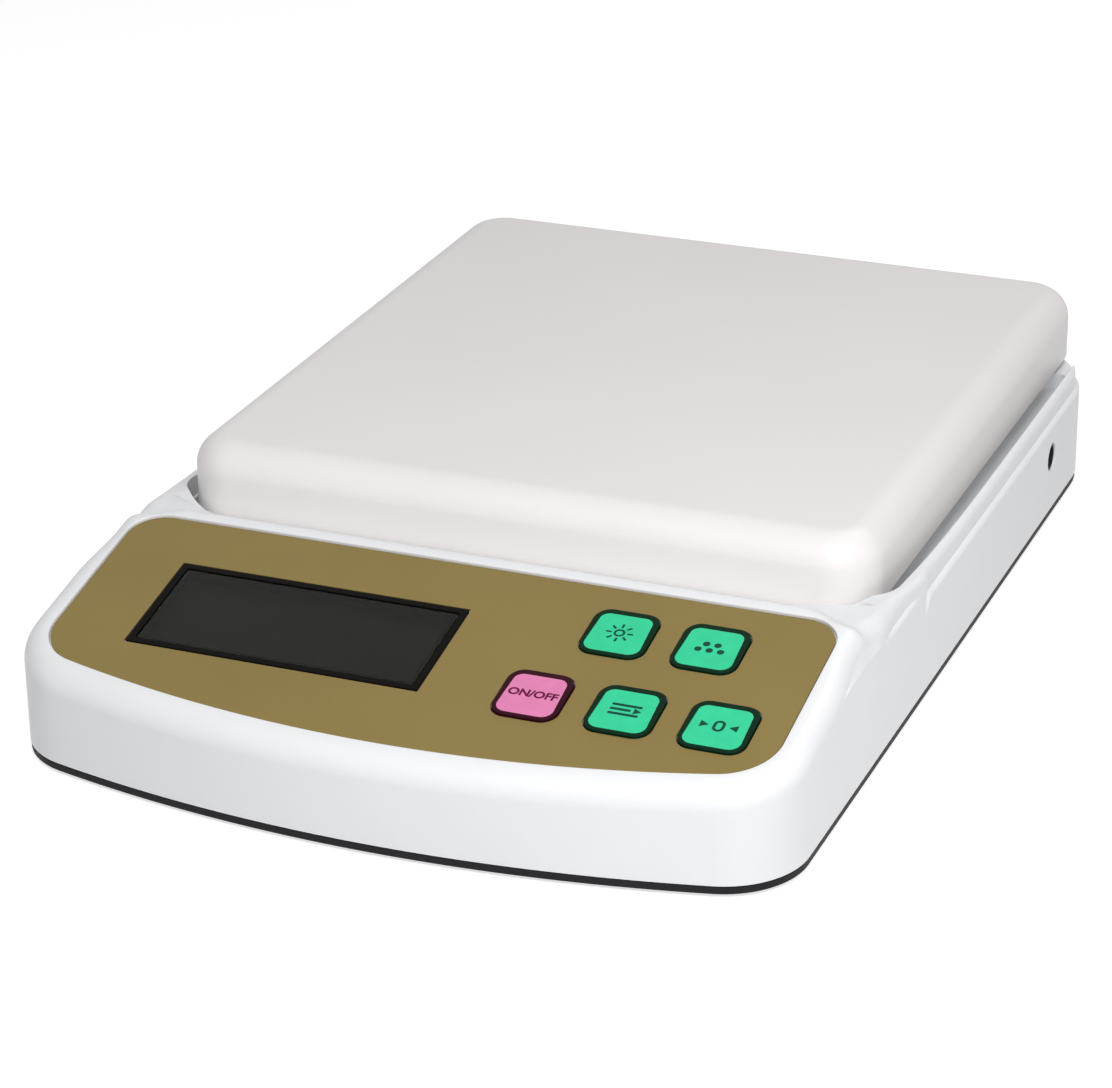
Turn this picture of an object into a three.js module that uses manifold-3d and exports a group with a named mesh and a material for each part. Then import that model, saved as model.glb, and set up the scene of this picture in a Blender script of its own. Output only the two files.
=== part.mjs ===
// A low electronic counter scale: a sloped console in front, a square weighing platform behind.
// Millimetres, +Z up, +X to the user's right, -Y towards the user. The origin is on the surface the feet
// stand on, under the middle of the case.

import * as THREE from "three";
import { mergeVertices } from "three/addons/utils/BufferGeometryUtils.js";
import Module from "manifold-3d";

const wasm = await Module();
wasm.setup();

// Fits
const gap = 0.3; // between two pieces that seat on each other
const overrun = 5; // how far a cutting tool runs past the material
const mergeDistance = 0.0001; // corners closer than this are one

// Case
const caseWidth = 170;
const caseLength = 250;
const sideWall = 2.2;
const roofWall = 2.6;
const frontBow = 300; // radius of the bowed front edge
const frontCorner = 18;
const rearCorner = 24;
const consoleFillet = 4.5;
const shoulderFillet = 3.2;
const ledgeStep = 1.3; // the wall above the ledge stands this far in
const ledgeHeight = 21.5;
const ledgeRise = 1.5;
const ledgeStart = 98; // from the front edge
const ledgeBlend = 22;
const ledgeStepShares = [0, 0.25, 0.5, 0.75, 1];

// Console panel
const panelRun = 64.5; // from the front edge to the sheet's rear edge
const panelRearHeight = 34.7;
const panelTilt = 11.86; // degrees
const panelMargin = 5.8; // from the case's side to the sheet's edge
const panelRearCorner = 7.5;
const rimHeight = 0.5;
const crestRun = 3;
const recessDepth = 0.6;
const overlayThickness = 0.3;

// The top surface sweeps down from the console's crest to the shoulders beside the platform
const shoulderHeight = 27.3;
const sweepRun = 45.5;
const sweepShares = [
  [0.08, 0.05],
  [0.165, 0.19],
  [0.265, 0.38],
  [0.385, 0.55],
  [0.52, 0.7],
  [0.67, 0.84],
  [0.85, 0.95],
  [1, 1],
];

// Weighing platform
const platformSideInset = 6.2; // from the case's side to the platform's edge
const platformFrontSetback = 16.4; // from the sheet's rear edge
const platformRearSetback = 0.6; // from the case's rear edge
const platformTop = 44.6;
const platformCorner = 11;
const platformFillet = 7;
const platformWall = 2.2;
const skirtBottom = 28.8;
const ribDepth = 5;
const ribThickness = 1.8;
const ribPlaceShare = 0.32;
const pegRadius = 5;
const pegBore = 2.6;
const pegBoreDepth = 8;
const pegInset = 26.8; // from the platform's sides
const pegSpanY = 104;

// Pocket in the case under the platform
const pocketMargin = 1.2;
const pocketFloor = 26.5;
const deckThickness = 2;
const deckHole = 6.8;

// Base tray
const footProud = 1;
const trayLip = 1.6;
const trayInset = 0.4;
const trayFloor = 2;
const trayRimHeight = 4.5;
const trayRimThickness = 1.6;

// Load cell, lying along Y
const cellLength = 80;
const cellSection = 12.7;
const cellPadHeight = 2.9;
const cellPadLength = 25;
const cellWebHole = 4.2;
const cellWebSpan = 14;
const cellBoltSpacing = 15;
const cellBoltEdge = 5;
const cellBoltShank = 2.2;
const cellBoltHole = 2.5;
const cellBoltHead = 3.8;
const cellBoltHeadHeight = 1.2;
const cellBoltReach = 9;
const pottingFromPad = 3; // from the pads at the bar's ends
const pottingThickness = 0.6;

// Spreader between the load cell and the platform's pegs
const spreaderPad = 1.2;
const spreaderThickness = 1.8;
const spreaderMargin = 6.5;
const spreaderCorner = 8;
const spreaderSpine = 15;
const spreaderWindowCorner = 4;
const spreaderWindowInset = 18;
const postRadius = 2.2;
const postHeight = 6.8;

// Overload stop under the free end of the load cell
const stopHeadRadius = 3;
const stopHeadHeight = 1.2;
const stopShank = 1.4;
const stopBossRadius = 4;
const stopBossHeight = 1.4;

// Display
const displayInset = 23; // from the case's left side to the display's edge
const displayToKeys = 16.35; // from the display's right edge to the first key
const displayCentreRun = 28.5; // down the slope from the sheet's rear edge
const displayHeight = 27.7;
const displayBorder = 1.5;
const displayLedge = 2.2;
const displayFrameProud = 0.1;
const windowSink = 0.1;
const glassThickness = 2;
const glassMargin = 1.2;
const backlightThickness = 2.7;
const backlightInset = 3;
const connectorWidth = 2;
const connectorInset = 2;

// Keys
const keyInset = 19.3; // from the case's right side to the last key's middle
const keyFrontRun = 37.9;
const keyRearRun = 14.6;
const keyPitch = 19.5;
const keyWidth = 13.9;
const keyDepth = 14.8;
const keyCorner = 3.3;
const keyProud = 0.4;
const keyBevel = 0.2;
const keyFlange = 1.3;
const keyFlangeThickness = 1;
const keyStem = 2;
const keyStemLength = 0.5;
const keyShares = [
  ["key_on_off", -2, "front", 0xe196be],
  ["key_mode", -1, "front", 0x4fcf9f],
  ["key_tare", 0, "front", 0x4fcf9f],
  ["key_light", -1.51, "rear", 0x4fcf9f],
  ["key_count", -0.51, "rear", 0x4fcf9f],
];

// Main board and its switches
const boardDrop = 8.2; // below the sheet's top face, square to it
const boardThickness = 1.6;
const boardLeftInset = 19; // from the case's sides to the board's edges
const boardRightInset = 13;
const boardFrontInset = 17.9; // from the case's front edge, along the slope
const boardRearRun = 8;
const switchSize = 6;
const switchHeight = 3;
const plungerRadius = 1.6;
const plungerLength = 2;
const plungerWell = 2.1;
const blobRadius = 6;
const blobHeight = 1.5;
const blobToKey = 14.7; // from the blob to the first key's middle
const blobRun = 26;
const boardBossRadius = 2.6;
const boardScrewEdge = 2.9;
const boardScrewToKey = 12.7;
const boardScrewShank = 1.1;
const boardScrewPilot = 1.4;
const boardScrewHead = 2.3;
const boardScrewHeadHeight = 1.2;
const boardScrewReach = 4.5;

// Case screws, up from the tray into the case's bosses
const screwFrontSetback = 44;
const screwRearSetback = 34;
const screwFrontInset = 8;
const screwRearInset = 13;
const screwBossRadius = 3.5;
const screwShank = 1.45;
const screwPilot = 1.75;
const screwHead = 2.8;
const screwHeadHeight = 1.6;
const screwLength = 14;
const screwSeatRadius = 4.4;
const screwSeatHeight = 4;
const screwSeatSink = 2.2;

// Feet
const footRadius = 6.5;
const footRecess = 1;
const footFrontSetback = 24;
const footRearSetback = 20;
const footInset = 19;
const footChamfer = 0.6;

// Battery bay in the tray, two AA cells lying along X
const batteryRadius = 7.1;
const batteryLength = 50.5;
const batteryNubRadius = 2.7;
const batteryNubLength = 1.2;
const batteryPitch = 15;
const bayClearance = 0.8; // from a cell's side to the bay's wall
const bayWall = 1.6;
const bayLedge = 1.4;
const bayContactRoom = 3.3; // from a cell's end to the bay's end wall
const bayFromCell = 8.1; // from the bay's rear wall to the load cell's front end
const doorThickness = 1.8;
const hookWidth = 7;
const hookReach = 1.9;
const hookThickness = 1.2;
const hookSpan = 36;
const gripWidth = 14;
const gripDepth = 4;
const gripSink = 1;
const contactThickness = 0.4;
const contactWidth = 10;
const contactHeight = 11;
const springBase = 3.6;
const springTip = 2.4;
const buttonRadius = 2;
const buttonHeight = 0.8;
const tabWidth = 3;
const tabHeight = 3;
const tabReach = 2.2;

// Power socket in the right wall
const socketFromRear = 45;
const socketHeight = 16.3;
const socketHole = 3.3;
const jackWidth = 9;
const jackLength = 14;
const jackBase = 6.1; // from the socket's axis down to the jack's underside
const jackTop = 3.7;
const jackBore = 2.9;
const jackBoreDepth = 9.5;
const jackPin = 1;
const jackPinSink = 1;

// Cables inside the case: they lie on lanes along the tray's floor and rise square to the board
const cellCableRadius = 1.4;
const leadRadius = 0.8;
const laneHeight = 3; // a cable's middle above the tray's floor
const laneShares = [0.12, 0.26, 0.4, 0.74, 0.85]; // from the battery bay's tabs to the jack's back
const cableTail = 3; // straight stretch where a cable leaves a piece
const boardTail = 5;
const boardEndRun = 20;
const boardEndInset = 14; // from the board's right edge to the last cable
const boardEndPitch = 7;
const jackLeadSpacing = 4.4;
const jackLeadDrop = 2.8;
const cableBend = 14; // along the case, from a cable's tail to its lane

// Heights and places that follow from the sizes above
const caseFront = -caseLength / 2;
const caseRear = caseLength / 2;
const trayBottom = footProud;
const trayTop = trayBottom + trayFloor;
const caseBottom = trayBottom + trayLip + gap;
const tilt = THREE.MathUtils.degToRad(panelTilt);
const panelRear = caseFront + panelRun;
const crestY = panelRear + crestRun;
const platformHalfWidth = caseWidth / 2 - platformSideInset;
const platformRear = caseRear - platformRearSetback;
const platformFront = panelRear + platformFrontSetback;
const platformLength = platformRear - platformFront;
const pegSpanX = 2 * (platformHalfWidth - pegInset);
const platformCentre = (platformFront + platformRear) / 2;
const cellBottom = trayTop + cellPadHeight + gap;
const cellTop = cellBottom + cellSection;
const spreaderBottom = cellTop + gap + spreaderPad;
const spreaderTop = spreaderBottom + spreaderThickness;
const panelUnderside = rimHeight - roofWall;
const boardTop = -boardDrop;
const boardLeft = caseWidth / 2 - boardLeftInset;
const boardRight = caseWidth / 2 - boardRightInset;
const boardLength = panelRun / Math.cos(tilt) - boardRearRun - boardFrontInset;
const lastKeyX = caseWidth / 2 - keyInset;
const firstKeyX = lastKeyX - 2 * keyPitch;
const displayLeft = displayInset - caseWidth / 2;
const displayRight = firstKeyX - keyWidth / 2 - displayToKeys;
const displayWidth = displayRight - displayLeft;
const displayCentreX = (displayLeft + displayRight) / 2;

// Counts of steps on round shapes
const smoothSides = 24;
const smallSides = 16;
const tinySides = 10;
const bowSteps = 6;
const cornerSteps = 5;
const filletSteps = 3;
const prismCornerSteps = 2;
const cableSides = 8;
const cableSteps = 28;

// Turns a closed geometry into a solid that can be joined and cut.
function solid(geometry) {
  const bare = geometry.index ? geometry.toNonIndexed() : geometry.clone();
  bare.deleteAttribute("normal");
  bare.deleteAttribute("uv");
  const merged = mergeVertices(bare, mergeDistance);
  return new wasm.Manifold(
    new wasm.Mesh({
      numProp: 3,
      vertProperties: new Float32Array(merged.attributes.position.array),
      triVerts: new Uint32Array(merged.index.array),
    }),
  );
}

// Turns a solid back into a geometry.
function geometryOf(made) {
  const mesh = made.getMesh();
  const geometry = new THREE.BufferGeometry();
  geometry.setAttribute("position", new THREE.BufferAttribute(mesh.vertProperties, 3));
  geometry.setIndex(new THREE.BufferAttribute(mesh.triVerts, 1));
  const flat = geometry.toNonIndexed();
  flat.computeVertexNormals();
  return flat;
}

// Adds several solids to the first one.
function joined(first, ...others) {
  return others.reduce((sum, other) => sum.add(other), first);
}

// Takes several solids from the first one.
function cut(first, ...tools) {
  return tools.reduce((left, tool) => left.subtract(tool), first);
}

function matt(colour, roughness) {
  return new THREE.MeshStandardMaterial({ color: colour, roughness, metalness: 0 });
}

function metal(colour, roughness) {
  return new THREE.MeshStandardMaterial({ color: colour, roughness, metalness: 1 });
}

// Adds a named piece to a group.
function piece(group, name, shape, material) {
  const geometry = shape.isBufferGeometry ? shape : geometryOf(shape);
  const mesh = new THREE.Mesh(geometry, material);
  mesh.name = name;
  group.add(mesh);
  return mesh;
}

// A rectangle with round corners, centred on the origin.
function roundedRectangle(width, depth, corner) {
  const x = width / 2;
  const y = depth / 2;
  const r = Math.max(Math.min(corner, x, y), 0);
  const shape = new THREE.Shape();
  shape.absarc(x - r, y - r, r, 0, Math.PI / 2);
  shape.absarc(r - x, y - r, r, Math.PI / 2, Math.PI);
  shape.absarc(r - x, r - y, r, Math.PI, 1.5 * Math.PI);
  shape.absarc(x - r, r - y, r, 1.5 * Math.PI, 2 * Math.PI);
  return shape;
}

// A straight-sided body between two heights.
function prism(shape, low, high, x = 0, y = 0) {
  const options = { depth: high - low, bevelEnabled: false, curveSegments: prismCornerSteps };
  return new THREE.ExtrudeGeometry(shape, options).translate(x, y, low);
}

// A box of a given size about a place, between two heights.
function slab(width, depth, low, high, x = 0, y = 0) {
  return new THREE.BoxGeometry(width, depth, high - low).translate(x, y, (low + high) / 2);
}

// A box between two corners.
function block(low, high) {
  const [x0, y0, z0] = low;
  const [x1, y1, z1] = high;
  return new THREE.BoxGeometry(x1 - x0, y1 - y0, z1 - z0).translate(
    (x0 + x1) / 2,
    (y0 + y1) / 2,
    (z0 + z1) / 2,
  );
}

// A turned body about +Z. Its profile lists radius and height and starts at the low end of the axis.
function turned(profile, sides, x = 0, y = 0) {
  const points = profile.map(([radius, height]) => new THREE.Vector2(radius, height));
  return new THREE.LatheGeometry(points, sides).rotateX(Math.PI / 2).translate(x, y, 0);
}

// A round rod about +Z.
function rod(radius, low, high, sides, x = 0, y = 0) {
  return turned([[0, low], [radius, low], [radius, high], [0, high]], sides, x, y);
}

// A screw about +Z with its head at the low end.
function screwUp(head, headHeight, shank, low, high, sides) {
  const neck = low + headHeight;
  return turned([[0, low], [head, low], [head, neck], [shank, neck], [shank, high], [0, high]], sides);
}

// A body through a stack of outlines, each with as many points as the next. The first half of an outline
// runs up its right side and the second half mirrors it, so a cap is made of strips across the body.
function stacked(rings) {
  const count = rings[0].length;
  const corners = [];
  const face = (...points) => points.forEach((point) => corners.push(...point));
  for (let level = 0; level + 1 < rings.length; level += 1) {
    for (let i = 0; i < count; i += 1) {
      const next = (i + 1) % count;
      const [a, b] = [rings[level][i], rings[level][next]];
      const [c, d] = [rings[level + 1][next], rings[level + 1][i]];
      face(a, b, c);
      face(a, c, d);
    }
  }
  const low = rings[0];
  const high = rings[rings.length - 1];
  for (let i = 0; i + 1 < count / 2; i += 1) {
    const across = count - 1 - i;
    face(high[i], high[i + 1], high[across - 1]);
    face(high[i], high[across - 1], high[across]);
    face(low[i], low[across - 1], low[i + 1]);
    face(low[i], low[across], low[across - 1]);
  }
  const geometry = new THREE.BufferGeometry();
  geometry.setAttribute("position", new THREE.Float32BufferAttribute(corners, 3));
  return geometry;
}

// Places on an arc, both ends included, each with the direction that leads inwards from it.
function arc(x, y, radius, from, to, steps) {
  return Array.from({ length: steps + 1 }, (unused, i) => {
    const angle = from + ((to - from) * i) / steps;
    const inward = [-Math.cos(angle), -Math.sin(angle)];
    return { x: x - radius * inward[0], y: y - radius * inward[1], inward };
  });
}

// Mirrors the right half of an outline to the left.
function mirrored(right) {
  const left = right.map(({ x, y, inward }) => ({ x: -x, y, inward: [-inward[0], inward[1]] }));
  return [...right, ...left.reverse()];
}

// The edge of a plate with a bowed front and round corners, with extra places along its straight sides.
function bowedEdge({ halfWidth, front, rear, bow, nearCorner, farCorner }, stations) {
  const cornerX = halfWidth - nearCorner;
  const reach = bow - nearCorner;
  const turn = -Math.acos(cornerX / reach);
  const middle = -Math.PI / 2;
  const stride = (turn - middle) / (bowSteps + 1 / 2);
  const bowCentre = front + bow * Math.cos(stride / 2);
  const cornerY = bowCentre - Math.sqrt(reach * reach - cornerX * cornerX);
  const bowArc = arc(0, bowCentre, bow, middle + stride / 2, turn - stride, bowSteps - 1);
  const nearArc = arc(cornerX, cornerY, nearCorner, turn, 0, cornerSteps);
  const farArc = arc(halfWidth - farCorner, rear - farCorner, farCorner, 0, Math.PI / 2, cornerSteps);
  const side = stations
    .filter((y) => y > cornerY + gap && y < rear - farCorner - gap)
    .map((y) => ({ x: halfWidth, y, inward: [-1, 0] }));
  return mirrored([...bowArc, ...nearArc, ...side, ...farArc]);
}

// The edge of a rectangle with round corners.
function roundedEdge(halfWidth, front, rear, corner) {
  const x = halfWidth - corner;
  const nearArc = arc(x, front + corner, corner, -Math.PI / 2, 0, cornerSteps);
  const farArc = arc(x, rear - corner, corner, 0, Math.PI / 2, cornerSteps);
  return mirrored([...nearArc, ...farArc]);
}

// One level of a body: the edge moved inwards, at a height that may follow the place along the body.
function level(edge, insetAt, heightAt) {
  return edge.map(({ x, y, inward }) => {
    const inset = insetAt(y);
    const movedY = y + inward[1] * inset;
    return [x + inward[0] * inset, movedY, heightAt(movedY)];
  });
}

// A flat plate inside an edge.
function plate(edge, inset, low, high) {
  const ringAt = (z) => level(edge, () => inset, () => z);
  return stacked([ringAt(low), ringAt(high)]);
}

// Height of the plane that holds the sheet's top face.
function panelPlane(y) {
  return panelRearHeight + (y - panelRear) * Math.tan(tilt);
}

// The case's top surface seen from the side, from the front to the rear.
const crestHeight = panelPlane(crestY) + rimHeight / Math.cos(tilt);
const topProfile = [
  [caseFront, panelPlane(caseFront) + rimHeight / Math.cos(tilt)],
  [crestY, crestHeight],
  ...sweepShares.map(([along, down]) => [
    crestY + sweepRun * along,
    crestHeight - (crestHeight - shoulderHeight) * down,
  ]),
  [caseRear, shoulderHeight],
];

// Height of the case's top at a place along it
function topHeight(y) {
  const place = Math.min(Math.max(y, caseFront), caseRear);
  const next = topProfile.findIndex(([at], i) => i > 0 && place <= at);
  const [y0, z0] = topProfile[next - 1];
  const [y1, z1] = topProfile[next];
  return z0 + ((z1 - z0) * (place - y0)) / (y1 - y0);
}

// How far the ledge's step has grown along the case: not at all beside the console, fully behind it.
function ledgeShare(y) {
  return THREE.MathUtils.smoothstep(y, caseFront + ledgeStart, caseFront + ledgeStart + ledgeBlend);
}

// Places along the case's sides where its top or its ledge changes.
const ledgeStations = ledgeStepShares.map((share) => caseFront + ledgeStart + ledgeBlend * share);
const caseStations = [...topProfile.map(([y]) => y), ...ledgeStations]
  .sort((a, b) => a - b)
  .filter((y, i, all) => i === 0 || y - all[i - 1] > gap);

const casePlan = {
  halfWidth: caseWidth / 2,
  front: caseFront,
  rear: caseRear,
  bow: frontBow,
  nearCorner: frontCorner,
  farCorner: rearCorner,
};
const caseEdge = bowedEdge(casePlan, caseStations);

// The case as one block, or the same block thinned by a skin at the sides and a roof on top.
function caseBlock(skin, roof, low) {
  const roofAt = (y) => topHeight(y) - roof / Math.cos(tilt);
  const filletAt = (y) => {
    const outer = consoleFillet + (shoulderFillet - consoleFillet) * ledgeShare(y);
    return Math.max(outer - skin, gap);
  };
  const wallTopAt = (y) => roofAt(y) - filletAt(y);
  const ledgeAt = (y) => Math.min(ledgeHeight - skin / 2, wallTopAt(y) - 2 * ledgeRise);
  const stepAt = (y) => skin + ledgeStep * ledgeShare(y);
  const rings = [
    level(caseEdge, () => skin, () => low),
    level(caseEdge, () => skin, ledgeAt),
    level(caseEdge, stepAt, (y) => ledgeAt(y) + ledgeRise),
  ];
  for (let step = 0; step <= filletSteps; step += 1) {
    const turn = (Math.PI / 2) * (step / filletSteps);
    const insetAt = (y) => stepAt(y) + filletAt(y) * (1 - Math.cos(turn));
    const heightAt = (y) => wallTopAt(y) + filletAt(y) * Math.sin(turn);
    rings.push(level(caseEdge, insetAt, heightAt));
  }
  return solid(stacked(rings));
}

// The console's own frame: its origin is at the middle of the sheet's rear edge, +Y runs up the slope.
const panelFrame = new THREE.Matrix4()
  .makeRotationX(tilt)
  .setPosition(0, panelRear, panelRearHeight);

// Sets a shape of the console's frame into the case
function onPanel(geometry) {
  return solid(geometry.applyMatrix4(panelFrame));
}

// The sheet's plan in the console's frame, a constant margin inside the case.
const sheetPlan = {
  halfWidth: caseWidth / 2 - panelMargin,
  front: -(panelRun - panelMargin) / Math.cos(tilt),
  rear: 0,
  bow: frontBow - panelMargin,
  nearCorner: frontCorner - panelMargin,
  farCorner: panelRearCorner,
};
const sheetEdge = bowedEdge(sheetPlan, []);

// Where each key stands in the console's frame.
const keyPlaces = keyShares.map(([name, column, row, colour]) => ({
  name,
  colour,
  x: lastKeyX + column * keyPitch,
  y: row === "front" ? -keyFrontRun : -keyRearRun,
}));

// The display's outline set out by a margin, between two heights.
function displayBlock(margin, low, high) {
  const width = displayWidth + 2 * margin;
  const depth = displayHeight + 2 * margin;
  return slab(width, depth, low, high, displayCentreX, -displayCentreRun);
}

// A key's opening, a gap wider than the key all round
function keyOpening(place, low, high) {
  const shape = roundedRectangle(keyWidth + 2 * gap, keyDepth + 2 * gap, keyCorner + gap);
  return prism(shape, low, high, place.x, place.y);
}

// Places that come in mirrored pairs.
const screwPlaces = [
  { name: "front_left", x: -(caseWidth / 2 - screwFrontInset), y: caseFront + screwFrontSetback },
  { name: "front_right", x: caseWidth / 2 - screwFrontInset, y: caseFront + screwFrontSetback },
  { name: "rear_left", x: -(caseWidth / 2 - screwRearInset), y: caseRear - screwRearSetback },
  { name: "rear_right", x: caseWidth / 2 - screwRearInset, y: caseRear - screwRearSetback },
];
const footPlaces = [
  { name: "front_left", x: -(caseWidth / 2 - footInset), y: caseFront + footFrontSetback },
  { name: "front_right", x: caseWidth / 2 - footInset, y: caseFront + footFrontSetback },
  { name: "rear_left", x: -(caseWidth / 2 - footInset), y: caseRear - footRearSetback },
  { name: "rear_right", x: caseWidth / 2 - footInset, y: caseRear - footRearSetback },
];
const pegPlaces = [-1, 1].flatMap((sideX) =>
  [-1, 1].map((sideY) => ({ x: (sideX * pegSpanX) / 2, y: platformCentre + (sideY * pegSpanY) / 2 })),
);
const boardScrewPlaces = [
  { x: boardScrewEdge - boardLeft, y: -(boardRearRun + boardScrewEdge) },
  { x: boardScrewEdge - boardLeft, y: boardScrewEdge - boardRearRun - boardLength },
  { x: firstKeyX - boardScrewToKey, y: boardScrewEdge - boardRearRun - boardLength },
  { x: boardRight - boardScrewEdge, y: -(boardRearRun + boardScrewEdge) },
];

// Screw seats in the tray and the boss each screw bites into
const seatTop = trayTop + screwSeatHeight;
const bossBottom = seatTop + gap;
const screwLow = trayBottom + gap;

// The power socket's axis and the face of the jack behind it
const socketY = caseRear - socketFromRear;
const outerWallX = caseWidth / 2;
const jackFace = outerWallX - sideWall - gap;

// The load cell runs along Y under the platform's middle and is bolted to the tray at its rear end
const cellEnds = [platformCentre - cellLength / 2, platformCentre + cellLength / 2];
const freeBoltPlaces = [cellEnds[0] + cellBoltEdge, cellEnds[0] + cellBoltEdge + cellBoltSpacing];
const fixedBoltPlaces = [cellEnds[1] - cellBoltEdge - cellBoltSpacing, cellEnds[1] - cellBoltEdge];
const stopY = (freeBoltPlaces[0] + freeBoltPlaces[1]) / 2;
const boltHeadSeat = spreaderTop - cellBoltHeadHeight - gap;

// The battery bay's inner room, and the door's opening a ledge wider all round
const bayHalfX = batteryLength / 2 + bayContactRoom;
const bayHalfY = batteryPitch / 2 + batteryRadius + bayClearance;
const bayCentreY = cellEnds[0] - bayFromCell - bayWall - bayLedge - bayHalfY;
const doorTop = trayBottom + doorThickness;
const batteryCentre = doorTop + gap + batteryRadius;
const bayCeiling = batteryCentre + batteryRadius + gap;
const openingHalfX = bayHalfX + bayLedge;
const openingHalfY = bayHalfY + bayLedge;
const hookPlaces = [-hookSpan / 2, hookSpan / 2];
const hookTop = trayTop + gap + hookThickness;
const contactX = bayHalfX - gap;
const contactLow = batteryCentre - contactHeight / 2;
const contactHigh = batteryCentre + contactHeight / 2;
const rowPlaces = [bayCentreY - batteryPitch / 2, bayCentreY + batteryPitch / 2];
const cellShift = bayContactRoom - gap - contactThickness - buttonHeight - gap;
const springReach = 2 * bayContactRoom - 3 * gap - 2 * contactThickness - buttonHeight - gap;
const hookRise = bayLedge - gap;

// Cable lanes between the bay's tabs and the jack's back
const tabEnd = openingHalfX + bayWall + tabReach;
const jackBack = jackFace - jackLength;
const lanes = laneShares.map((share) => tabEnd + (jackBack - tabEnd) * share);
const laneZ = trayTop + laneHeight;

// The case's upper moulding: a hollow shell with the platform's pocket and the console's openings
function upperCase() {
  const block = caseBlock(0, 0, caseBottom);
  const pocketHalf = platformHalfWidth + pocketMargin;
  const pocketFront = platformFront - pocketMargin;
  const pocketRear = platformRear + pocketMargin;
  const pocketEdge = roundedEdge(pocketHalf, pocketFront, pocketRear, platformCorner + pocketMargin);
  const deckTool = solid(plate(pocketEdge, -deckThickness, pocketFloor - deckThickness, platformTop));
  const cavity = caseBlock(sideWall, roofWall, caseBottom - overrun).subtract(deckTool);
  const bosses = screwPlaces.map(({ x, y }) =>
    solid(rod(screwBossRadius, bossBottom, platformTop, smallSides, x, y)),
  );
  const bossesInside = joined(...bosses).intersect(block);
  const boardBosses = boardScrewPlaces.map(({ x, y }) =>
    onPanel(rod(boardBossRadius, boardTop + gap, panelUnderside + gap, tinySides, x, y)),
  );
  const shell = joined(block.subtract(cavity), bossesInside, ...boardBosses);
  const pilots = screwPlaces.map(({ x, y }) =>
    solid(rod(screwPilot, bossBottom - overrun, screwLow + screwLength + gap, tinySides, x, y)),
  );
  const boardPilots = boardScrewPlaces.map(({ x, y }) =>
    onPanel(rod(boardScrewPilot, boardTop - overrun, boardTop + gap + boardScrewReach, tinySides, x, y)),
  );
  const deckHoles = pegPlaces.map(({ x, y }) =>
    solid(rod(deckHole, pocketFloor - overrun, pocketFloor + overrun, smallSides, x, y)),
  );
  const socket = rod(socketHole, 0, 2 * overrun, smallSides);
  socket.rotateY(Math.PI / 2).translate(outerWallX - overrun, socketY, socketHeight);
  return cut(
    shell,
    solid(plate(pocketEdge, 0, pocketFloor, platformTop)),
    onPanel(plate(sheetEdge, -gap, -recessDepth, overrun)),
    onPanel(displayBlock(-displayLedge, panelUnderside - gap, overrun)),
    ...keyPlaces.map((place) => onPanel(keyOpening(place, panelUnderside - gap, overrun))),
    ...pilots,
    ...boardPilots,
    ...deckHoles,
    solid(socket),
  );
}

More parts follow.
